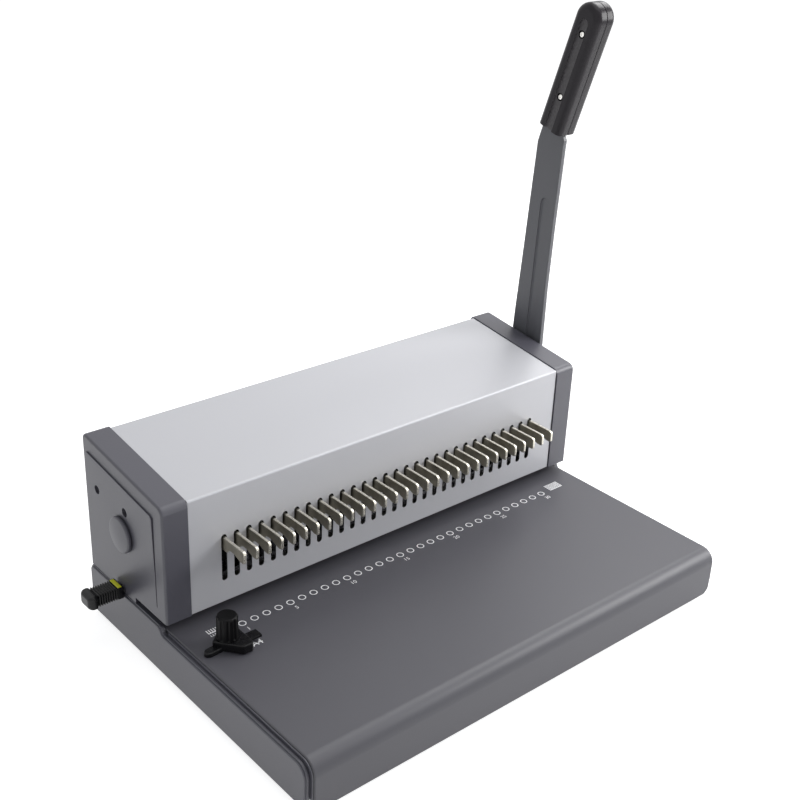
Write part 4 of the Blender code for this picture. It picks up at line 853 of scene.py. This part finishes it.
silver = coated("satin_silver_paint", (0.565, 0.567, 0.595), 0.44, 0.12, tone=0.03, gloss=0.05, patch=9.0,
                grain=2600.0, bump=0.000004, coat=0.16, coat_roughness=0.2)
cover = slab(cover_line(0.0) + cover_line(cover_sheet)[::-1], "X", cover_low.x, cover_high.x)
soften(cover, 0.3 * MM, 2, beyond(cover_high.x), angle=60)
slot_half = 2.1 * MM
slot_foot = bed_z + 22.9 * MM + slot_half
slot_head = bed_z + 57.5 * MM - slot_half
slots = [slab(stadium((hole_x(number), slot_foot), (hole_x(number), slot_head), slot_half, 10), "Y",
              cover_low.y - 3 * MM, cover_low.y + 4 * MM) for number in range(1, holes + 1)]
punched = merged(slots)
# The cutter's faces become the slot walls, which take the near-black painted shade
for face in punched.faces:
    face.material_index = 1
cover = combine(cover, punched)
# Near-black for the slot walls: painted shade inside the punched slots
painted_shade_slot_walls = coated("slot_walls_painted_shade", (0.045, 0.045, 0.047), 0.5, tone=0.3, gloss=0.1, patch=300.0,
                  bump=0.00001)
fit(cover, "silver_cover", [silver, painted_shade_slot_walls], "base", ["top_cover"])

# The frame inside the head
# Steel side plates, tie bars, posts and spacers, zinc plated, with fine scratches of handling. They are
# flat or drilled bars, so their solids from the frame stay.


def dress(node, material):
    """Put a finish on a solid that stays as the frame has it."""
    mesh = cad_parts[node].data
    mesh.materials.clear()
    mesh.materials.append(material)

# Fine parallel scratches: a noise drawn out along one axis
brush = bpy.data.node_groups.new("brush_lines", "ShaderNodeTree")
asked, given = group_sockets(
    brush,
    [("Color", "Color", (0.5, 0.5, 0.5, 1.0)), ("Tone Drift", "Float", 0.1), ("Roughness", "Float", 0.3),
     ("Gloss Drift", "Float", 0.15), ("Stretch", "Vector", (40.0, 2500.0, 2500.0))],
    [("Color", "Color"), ("Roughness", "Float"), ("Lines", "Float")])
spot = brush.nodes.new("ShaderNodeTexCoord").outputs["Object"]
drawn = brush.nodes.new("ShaderNodeVectorMath")
drawn.operation = "MULTIPLY"
brush.links.new(spot, drawn.inputs[0])
brush.links.new(asked.outputs["Stretch"], drawn.inputs[1])
lines = sum_in(brush, "SUBTRACT", noise_in(brush, drawn.outputs[0], 1.0, 3.0), 0.5)
stain = sum_in(brush, "SUBTRACT", noise_in(brush, spot, 60.0, 4.0), 0.5)
tone = sum_in(brush, "MULTIPLY", sum_in(brush, "ADD", lines, stain), asked.outputs["Tone Drift"])
tinted = brush.nodes.new("ShaderNodeVectorMath")
tinted.operation = "SCALE"
brush.links.new(asked.outputs["Color"], tinted.inputs[0])
brush.links.new(sum_in(brush, "ADD", 1.0, tone), tinted.inputs["Scale"])
brush.links.new(tinted.outputs[0], given.inputs["Color"])
gloss = sum_in(brush, "MULTIPLY", sum_in(brush, "ADD", lines, stain), asked.outputs["Gloss Drift"])
brush.links.new(sum_in(brush, "ADD", asked.outputs["Roughness"], gloss), given.inputs["Roughness"])
brush.links.new(lines, given.inputs["Lines"])


def brushed(name, colour, roughness, along, tone=0.2, gloss=0.2, bump=0.000004):
    """Bare or plated metal with fine lines along one axis."""
    lines_run = [40.0 if axis == along else 2500.0 for axis in "XYZ"]
    material = finished(name, brush, {"Color": (*colour, 1.0), "Tone Drift": tone, "Roughness": roughness,
                                      "Gloss Drift": gloss, "Stretch": lines_run}, "Lines", bump)
    material.node_tree.nodes["Principled BSDF"].inputs["Metallic"].default_value = 1.0
    return material



plated_upright = brushed("zinc_plate_upright", (0.52, 0.52, 0.50), 0.35, "Z")
plated_along = brushed("zinc_plate_along", (0.52, 0.52, 0.50), 0.35, "X")
for name in ("frame_plate_left", "frame_plate_right", "hook_post_left", "hook_post_right"):
    dress(name, plated_upright)
for name in ("lower_tie_bar", "upper_tie_bar", "throat_spacer_left", "throat_spacer_right", "punch_bar",
             "depth_stop"):
    dress(name, plated_along)
# Near-black steel for the hook carrier and the hook strip: painted shade for the dark space seen through the
# panel's slots
painted_shade_black_steel = brushed("black_steel_painted_shade", (0.020, 0.020, 0.021), 0.5, "X", tone=0.4)
dress("hook_carrier", painted_shade_black_steel)

# The die, the punch guide, the pins and the cams
# Hardened tool steel, ground on its faces and lightly oiled, which makes it darker than the plate.
ground_along = brushed("ground_tool_steel", (0.34, 0.34, 0.36), 0.25, "X", tone=0.3)
ground_upright = brushed("ground_pin_steel", (0.36, 0.36, 0.38), 0.22, "Z", tone=0.3)
for name in ("die_block", "punch_guide"):
    dress(name, ground_along)
for name in ("punch_pins", "punch_cam_left", "punch_cam_right", "hook_cam_left", "hook_cam_right"):
    dress(name, ground_upright)

# The springs
# Cold-drawn spring wire, a little dull from its oil.
wire = coated("spring_wire", (0.40, 0.39, 0.38), 0.38, 1.0, tone=0.25, gloss=0.2, patch=400.0,
              bump=0.000006)
for name, bar in (("punch_spring_left", "punches"), ("punch_spring_right", "punches"),
                  ("hook_spring_left", "hooks"), ("hook_spring_right", "hooks")):
    low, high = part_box(name)
    middle = (low + high) / 2
    coil = bmesh.new()
    coil.from_mesh(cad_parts[name].data)
    bmesh.ops.remove_doubles(coil, verts=coil.verts, dist=1e-6)
    piece = fit(coil, name + "_coil", wire, None, [name])
    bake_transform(piece)

# The shaft and its bushes
# A ground steel shaft in turned brass bushes that are pressed into the side plates.
shaft_steel = brushed("ground_shaft_steel", (0.55, 0.55, 0.55), 0.22, "X", tone=0.15)
dress("main_shaft", shaft_steel)
brass = coated("turned_brass", (0.62, 0.46, 0.20), 0.32, 1.0, tone=0.2, gloss=0.15, patch=200.0,
               bump=0.000006)
for name in ("shaft_bush_left", "shaft_bush_right"):
    dress(name, brass)

# The opener hooks
# Thirty flat hooks stamped from 2 mm steel and nickel plated, on one strip behind the panel. The flats are
# olive grey; a brighter nickel on the edge faces is a painted highlight, and the strip's black is painted
# shade.
nickel_flat = coated("nickel_flats", (0.38, 0.355, 0.29), 0.40, 1.0, tone=0.5, gloss=0.25, patch=160.0,
                     grain=900.0, bump=0.00001)
# A brighter copy of the nickel for the edge faces: painted highlight
painted_highlight_nickel = coated("nickel_edges_painted_highlight", (0.68, 0.655, 0.57), 0.28, 1.0, tone=0.3, gloss=0.2, patch=300.0,
                     grain=1500.0, bump=0.00001)
hooks_low, hooks_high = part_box("opener_hooks")
strip_back = panel_y + 4.4 * MM
strip_front = panel_y + 2.0 * MM
hook_top = bed_z + 56.0 * MM
hook_root = bed_z + 46.2 * MM
tip_y = panel_y - 24.0 * MM
tip_low = bed_z + 47.1 * MM
tip_top_round = 2.2 * MM
tip_low_round = 1.5 * MM
waist = bed_z + 49.4 * MM
hook_half = 1.0 * MM


def hook_shape():
    """One hook from the side: root in the slot, arm, and a tip turned down at the front."""
    points = [(strip_back - 0.4 * MM, hook_root), (strip_back - 0.4 * MM, hook_top)]
    points += arc((tip_y + tip_top_round, hook_top - tip_top_round), tip_top_round, 90, 180, 6)
    points += arc((tip_y + tip_low_round, tip_low + tip_low_round), tip_low_round, 180, 270, 4)
    points += arc((panel_y - 19.5 * MM, tip_low + MM), MM, 270, 320, 3)[1:]
    points += [(panel_y - 13.9 * MM, waist - 0.5 * MM), (panel_y - 12.6 * MM, waist),
               (panel_y - 7.9 * MM, waist), (panel_y - 7.2 * MM, waist - 0.4 * MM),
               (panel_y - 5.2 * MM, hook_root + 0.8 * MM), (panel_y - 3.9 * MM, hook_root)]
    return points


hook_row = []
for number in range(1, holes + 1):
    hook = slab(hook_shape(), "X", hole_x(number) - hook_half, hole_x(number) + hook_half)
    soften(hook, 0.42 * MM, 2, angle=60)
    # Faces that don't face sideways take the brighter nickel: a painted highlight along the edges
    for face in hook.faces:
        face.material_index = 0 if abs(face.normal.x) > 0.95 else 1
    hook_row.append(hook)
strip = block((hooks_low.x, hooks_high.x), (strip_front, strip_back),
              (hook_root - 1.5 * MM, hook_top + 1.5 * MM))
# The strip takes the near-black finish: painted shade behind the slots
for face in strip.faces:
    face.material_index = 2
hooks = combine(strip, merged(hook_row), "UNION")
fit(hooks, "nickel_hooks", [nickel_flat, painted_highlight_nickel, painted_shade_black_steel], "hooks", ["opener_hooks"])

# The margin pull
# A plated rod with slanted slots inside, and a black knob moulded on its left end: a collar, strong ribs
# and a bulb, all of one box section. A yellow marker is let into the collar's top.
dress("margin_rod", plated_along)
knob_low, knob_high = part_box("margin_knob")
knob_middle = (rod_place[0] - 0.7 * MM, rod_place[1] - 0.3 * MM)
knob_width = 13.8 * MM
knob_height = 9.2 * MM


def boxy(width, height, radius):
    """A rounded rectangle about the knob's middle, across the machine."""
    points = []
    for quarter, (sy, sz) in enumerate(((1, 1), (-1, 1), (-1, -1), (1, -1))):
        centre = (sy * (width / 2 - radius), sz * (height / 2 - radius))
        points += arc(centre, radius, 90 * quarter, 90 * quarter + 90, 6)
    return points


def skinned(rings):
    """A solid from rings of points, each bridged to the next, with both ends closed."""
    bm = bmesh.new()
    loops = []
    for ring in rings:
        verts = [bm.verts.new(point) for point in ring]
        loops.append([bm.edges.new(pair) for pair in zip(verts, verts[1:] + verts[:1])])
    for first, second in zip(loops, loops[1:]):
        bmesh.ops.bridge_loops(bm, edges=first + second)
    bmesh.ops.holes_fill(bm, edges=[edge for edge in bm.edges if edge.is_boundary], sides=0)
    bmesh.ops.recalc_face_normals(bm, faces=bm.faces)
    return bm


def swept(section, rings, place):
    """A solid along X whose section changes size; its rings are given as (x, scale)."""
    return skinned([[(x, place[0] + a * scale, place[1] + b * scale) for a, b in section]
                    for x, scale in rings])


black_skin = {"tone": 0.3, "gloss": 0.15, "patch": 150.0, "grain": 2200.0, "bump": 0.00002}
black = coated("black_moulding", (0.006, 0.006, 0.007), 0.30, shine=0.3, **black_skin)
collar = 4.4 * MM
ribs = 8
rib_pitch = 1.72 * MM
knob_in = knob_high.x
knob_rings = [(knob_in, 0.95), (knob_in - 0.35 * MM, 1.0), (knob_in - collar + 0.7 * MM, 1.0),
              (knob_in - collar + 0.45 * MM, 0.985), (knob_in - collar + 0.2 * MM, 0.88)]
for index in range(ribs):
    start = knob_in - collar - index * rib_pitch
    knob_rings += [(start, 0.78), (start - 0.2 * MM, 0.89), (start - 0.35 * MM, 0.97), (start - 0.5 * MM, 1.0),
                   (start - 0.75 * MM, 0.995), (start - 1.1 * MM, 0.94), (start - 1.5 * MM, 0.83)]
bulb_in = knob_in - collar - ribs * rib_pitch
bulb_end = knob_low.x
knob_rings += [(bulb_in, 0.86), (bulb_in - 0.3 * MM, 0.90), (bulb_in - 0.6 * MM, 1.0), (bulb_in - MM, 1.05),
               (bulb_in - 1.6 * MM, 1.08), (bulb_in - 2.6 * MM, 1.09)]
bulb_round = 4.0 * MM
bulb_tip = 0.55
bulb_drop = 1.09 - bulb_tip
knob_rings += [(bulb_end + bulb_round * (1 - sin(radians(turn))), bulb_tip + bulb_drop * cos(radians(turn)))
               for turn in range(10, 91, 10)]
knob = swept(boxy(knob_width, knob_height, 1.7 * MM), knob_rings, knob_middle)
marker_low, marker_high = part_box("margin_marker")
inlay_gap = 0.3 * MM
knob = combine(knob, block((marker_low.x - inlay_gap, marker_high.x + inlay_gap),
                           (marker_low.y - inlay_gap, marker_high.y + inlay_gap),
                           (marker_low.z - inlay_gap, knob_high.z + 3.0 * MM)))
fit(knob, "margin_pull_knob", black, "margin_pull", ["margin_knob"], sharp=50)

yellow = coated("yellow_moulding", (0.86, 0.86, 0.03), 0.30, tone=0.08, gloss=0.1, patch=200.0,
                bump=0.00001)
marker = block(*zip(marker_low, marker_high))
soften(marker, 0.45 * MM, 4)
fit(marker, "yellow_marker", yellow, "margin_pull", ["margin_marker"])

# The lever
# A flat steel bar bent forward at its top, with a long channel pressed into it for stiffness and its
# edges broken. It has a grey powder coat, a little glossier than the platen's.
arm_low, arm_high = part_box("lever_arm")
arm_in = arm_low.x
arm_out = 188.4 * MM
grip_origin = (panel_y + 43.8 * MM, bed_z + 265.0 * MM)
grip_lean = radians(17.6)


def grip_point(across, along):
    """A point in the grip's own frame, across and along its leaning axis."""
    return (grip_origin[0] + across * cos(grip_lean) - along * sin(grip_lean),
            grip_origin[1] + across * sin(grip_lean) + along * cos(grip_lean))


tang_half = 7.6 * MM
shoulder = 11.8 * MM
hub_radius = 19.0 * MM
tang_end = 84.0 * MM
tang_line = ((shoulder, -4.5 * MM), (tang_half, -0.5 * MM), (tang_half, tang_end), (-tang_half, tang_end),
             (-tang_half, -0.5 * MM), (-shoulder, -4.5 * MM))
arm_shape = [grip_point(across, along) for across, along in tang_line]
front_edge = ((34.4, 252.0), (35.7, 222.0), (37.3, 190.0), (38.9, 140.0), (38.9, 92.0), (36.5, 75.0))
rear_edge = ((70.4, 80.0), (70.0, 95.0), (69.0, 114.0), (65.3, 169.0), (62.7, 211.0), (60.1, 252.0))
arm_shape += [(panel_y + y * MM, bed_z + z * MM) for y, z in front_edge]
arm_shape += arc((panel_y + 50.0 * MM, shaft.z), hub_radius, 150, 380, 28)
arm_shape += [(panel_y + y * MM, bed_z + z * MM) for y, z in rear_edge]
arm = slab(arm_shape, "X", arm_in, arm_out)
soften(arm, 0.7 * MM, 3, runs_upright, angle=60)
channel_top = (panel_y + 46.4 * MM, bed_z + 206.0 * MM)
channel_foot = (panel_y + 50.6 * MM, bed_z + 84.0 * MM)
channel_shape = stadium(channel_foot, channel_top, 5.0 * MM, 12)
press = 1.2 * MM
rib = slab(channel_shape, "X", arm_out - MM, arm_out + press)
soften(rib, 0.8 * MM, 4, lambda a, b: min(a.x, b.x) > arm_out + press - 0.1 * MM, angle=60)
arm = combine(arm, rib, "UNION")
channel = slab(channel_shape, "X", arm_in - MM, arm_in + press)
soften(channel, 0.8 * MM, 4, lambda a, b: min(a.x, b.x) > arm_in + press - 0.1 * MM, angle=60)
arm = combine(arm, channel)
arm_bore = 6.3 * MM
arm = combine(arm, pin("X", arm_in - MM, arm_out + MM, arm_bore, shaft_place))
lever_coat = coated("lever_powder_coat", (0.122, 0.124, 0.136), 0.38, tone=0.08, gloss=0.06, grain=1700.0,
                    bump=0.00001)
fit(arm, "lever_bar", lever_coat, "lever", ["lever_arm"])
dress("lever_nut", zinc)

# The lever cap
# A black moulded cap pressed over the nut and the shaft's right end.
low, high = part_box("lever_cap")
cap_outer = 17.0 * MM
cap_wall = 3.0 * MM
dome = 5.0 * MM
profile = [(high.x - cap_wall, 0), (high.x - cap_wall, cap_outer - 2 * cap_wall),
           (high.x - 2 * cap_wall, cap_outer - cap_wall), (low.x, cap_outer - cap_wall), (low.x, cap_outer)]
profile += [(high.x - dome + a, cap_outer - dome + r) for a, r in arc((0, 0), dome, 90, 0, 12)]
profile += [(high.x, 4.0 * MM), (high.x - 0.5 * MM, 3.4 * MM), (high.x - 0.5 * MM, 0)]
fit(turned(profile, "X", shaft_place, 64), "lever_end_cap", black, "lever", ["lever_cap"])

# The grip
# Two black moulded halves screwed together round the lever's tang. Each has well rounded shoulders and a
# sunk, roughened channel that holds the screw heads.
grip_black = coated("grip_moulding", (0.017, 0.014, 0.018), 0.26, tone=0.15, gloss=0.08, patch=60.0,
                    grain=2000.0, bump=0.000008, shine=0.24)
grip_rough = coated("grip_channel", (0.085, 0.080, 0.084), 0.6, tone=1.4, gloss=0.25, patch=500.0,
                    grain=1200.0, bump=0.00012)
half = 11.5 * MM
grip_length = 97.3 * MM
rounding = 5.0 * MM
reach = 9.8 * MM
channel_half = 3.8 * MM
pocket = 8.0 * MM
tang_middle = (arm_in + arm_out) / 2
screw_along = (26.0 * MM, 74.5 * MM)
grip_sink = 2.9 * MM
foot_line = Vector((cos(grip_lean), sin(grip_lean)))


def above_foot(point):
    """How far a point lies from the grip's straight lower edge."""
    flat = Vector((point.y - grip_origin[0], point.z - grip_origin[1]))
    return (flat - flat.dot(foot_line) * foot_line).length


shape = [(-half, 0), (half, 0)] + arc((0, grip_length - half), half, 0, 180, 28)
grip_outline = [grip_point(a, b) for a, b in shape]
pocket_end = 84.5 * MM
pocket_line = ((-pocket, -3.0 * MM), (pocket, -3.0 * MM), (pocket, pocket_end), (-pocket, pocket_end))
pocket_shape = [grip_point(a, b) for a, b in pocket_line]
channel_ends = ((0, -6.0 * MM), (0, grip_length - 15.0 * MM))
channel_line = [grip_point(a, b) for a, b in stadium(*channel_ends, channel_half, 10)]
for side, word in ((-1, "inner"), (1, "outer")):
    split_x = tang_middle + side * 0.15 * MM
    face_x = tang_middle + side * reach
    grip = slab(grip_outline, "X", *sorted((split_x, face_x)))
    soften(grip, rounding, 8, lambda a, b: at_x(face_x)(a, b)
           and max(above_foot(a), above_foot(b)) > 0.5 * MM, angle=60)
    soften(grip, 0.35 * MM, 2, at_x(split_x), angle=60)
    grip = combine(grip, slab(pocket_shape, "X", arm_in - 0.3 * MM, arm_out + 0.3 * MM))
    floor_x = face_x - side * 1.6 * MM
    channel = slab(channel_line, "X", *sorted((floor_x, face_x + side * MM)))
    soften(channel, 0.3 * MM, 2, at_x(floor_x), angle=60)
    for face in grip.faces:
        face.material_index = 0
    for face in channel.faces:
        face.material_index = 1
    grip = combine(grip, channel)
    for along in screw_along:
        spot = grip_point(0, along)
        seat_x = face_x - side * 3.2 * MM
        hole = sunk_hole(tang_middle - side * 0.5 * MM, seat_x, face_x + side * MM, screw_bore, grip_sink,
                         spot)
        grip = combine(grip, hole)
    fit(grip, "grip_half_" + word, [grip_black, grip_rough], "lever", ["grip_" + word])

# The grip screws
# Bright nickel-plated screws with domed cross heads, sunk in the channel of each half.
grip_nickel = coated("screw_nickel", (0.82, 0.81, 0.78), 0.2, 1.0, tone=0.1, gloss=0.1, patch=300.0,
                     bump=0.000005)
bolt_head = 2.1 * MM
bolt_crown = 0.9 * MM
bolt_thick = 1.5 * MM
bolt_shank = 1.45 * MM
for along, word in zip(screw_along, ("lower", "upper")):
    low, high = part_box("grip_screw_" + word)
    spot = grip_point(0, along)
    rim = bolt_head - bolt_crown
    profile = [(low.x, 0)]
    profile += [(low.x + bolt_crown - a, rim + r) for a, r in arc((0, 0), bolt_crown, 0, 90, 6)]
    profile += [(low.x + bolt_thick, bolt_head), (low.x + bolt_thick, bolt_shank),
                (high.x - bolt_thick, bolt_shank), (high.x - bolt_thick, bolt_head)]
    profile += [(high.x - bolt_crown + a, rim + r) for a, r in arc((0, 0), bolt_crown, 90, 0, 6)]
    profile += [(high.x, 0)]
    screw = turned(profile, "X", spot, 32)
    for end_x, way in ((low.x, 1), (high.x, -1)):
        recess = cross_recess(end_x - way * MM, end_x + way * 0.8 * MM, spot, 1.2 * MM, 0.28 * MM)
        screw = combine(screw, recess)
    fit(screw, "grip_bolt_" + word, grip_nickel, "lever", ["grip_screw_" + word])

# The edge guide
# A black moulded stop that the paper's side edge rests against, with a pointer tab over the scale and a
# small finger lobe. It slides along the slot in the platen.
guide_low, guide_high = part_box("edge_guide")
guide_top = guide_high.z
seat = guide_low.z
guide_shape = ((-168.2, -31.3), (-160.8, -24.9), (-147.2, -24.9), (-147.2, -45.9), (-149.1, -47.8),
               (-155.4, -47.6))
guide = slab([(x * MM, panel_y + y * MM) for x, y in guide_shape], "Z", seat, guide_top)
soften(guide, 0.8 * MM, 4, angle=20)
tab = block((-149.0 * MM, -137.6 * MM), (panel_y - 41.4 * MM, panel_y - 34.0 * MM),
            (bed_z + 2.6 * MM, bed_z + 4.6 * MM))
soften(tab, 0.4 * MM, 2)
guide = combine(guide, tab, "UNION")
lobe_radius = 3.1 * MM
lobe_top = bed_z + 3.4 * MM
lobe_shape = stadium((-165.0 * MM, panel_y - 33.6 * MM), (-172.3 * MM, panel_y - 34.2 * MM),
                     lobe_radius, 12)
lobe = slab(lobe_shape, "Z", seat, lobe_top)
soften(lobe, 0.9 * MM, 4, lambda a, b: min(a.z, b.z) > lobe_top - 0.1 * MM)
guide = combine(guide, lobe, "UNION")
stud_bore = 2.5 * MM
guide = combine(guide, pin("Z", seat - MM, guide_top + MM, stud_bore, (clamp.x, clamp.y)))
guide_black = coated("guide_moulding", (0.006, 0.006, 0.007), 0.28, shine=0.2, **black_skin)
fit(guide, "paper_edge_guide", guide_black, "guide", ["edge_guide"])

# The clamp knob
# A black fluted knob, a little conical, on a steel stud that clamps the edge guide to the platen.
knob_low, knob_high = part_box("clamp_knob")
flutes = 10
knob_skirt = 7.1 * MM
bore_top = bed_z + 17.0 * MM
skirt_top = guide_top + 1.0 * MM


def fluted_ring(radius, z, depth):
    """Points round the knob at one height, with a round-bottomed groove between the ribs."""
    points = []
    for step in range(flutes * 12):
        share = (step % 12) / 12
        groove = max(0.0, 1.0 - ((share - 0.75) / 0.19) ** 2)
        reach = radius * (1.0 - depth * groove ** 0.5)
        turn = 2 * pi * step / (flutes * 12)
        points.append((clamp.x + reach * cos(turn), clamp.y + reach * sin(turn), z))
    return points


knob_rings = [(knob_skirt - 0.2 * MM, knob_low.z, 0.0), (knob_skirt, knob_low.z + 0.2 * MM, 0.0),
              (knob_skirt, skirt_top, 0.02), (7.05 * MM, skirt_top + 0.5 * MM, 0.09),
              (6.90 * MM, knob_high.z - 1.7 * MM, 0.10), (6.80 * MM, knob_high.z - 1.1 * MM, 0.09),
              (6.60 * MM, knob_high.z - 0.7 * MM, 0.06), (6.30 * MM, knob_high.z - 0.35 * MM, 0.02),
              (5.9 * MM, knob_high.z - 0.1 * MM, 0.0), (5.4 * MM, knob_high.z, 0.0),
              (4.8 * MM, knob_high.z - 0.2 * MM, 0.0)]
knob = skinned([fluted_ring(*ring) for ring in knob_rings])
knob = combine(knob, pin("Z", knob_low.z - MM, bore_top, stud_bore, (clamp.x, clamp.y)))
clamp_black = coated("clamp_moulding", (0.004, 0.004, 0.0045), 0.36, shine=0.12, **black_skin)
fit(knob, "fluted_clamp_knob", clamp_black, "clamp", ["clamp_knob"], sharp=40)
dress("clamp_stud", zinc)

# The chip tray
# A thin moulded drawer under the dies that catches the punched chips; it pulls out at the back by a
# thumb notch.
tray_wall = 1.5 * MM
tray_back = 2.0 * MM
tray_grey = coated("tray_moulding", (0.050, 0.050, 0.055), 0.45, tone=0.12, gloss=0.1, grain=1300.0,
                   bump=0.00002)
tray = block(*zip(tray_low, tray_high))
soften(tray, 0.6 * MM, 3)
hollow = block((tray_low.x + tray_wall, tray_high.x - tray_wall),
               (tray_low.y + tray_wall, tray_high.y - tray_back),
               (tray_low.z + tray_wall, tray_high.z + 5 * MM))
soften(hollow, 1.0 * MM, 3, lambda a, b: max(a.z, b.z) < tray_low.z + tray_wall + 0.1 * MM)
tray = combine(tray, hollow)
thumb = 13.0 * MM
notch = pin("Y", tray_high.y - 5 * MM, tray_high.y + 5 * MM, thumb, (0.0, tray_high.z + 3.0 * MM), 64)
tray = combine(tray, notch)
fit(tray, "chip_drawer", tray_grey, "tray", ["chip_tray"])
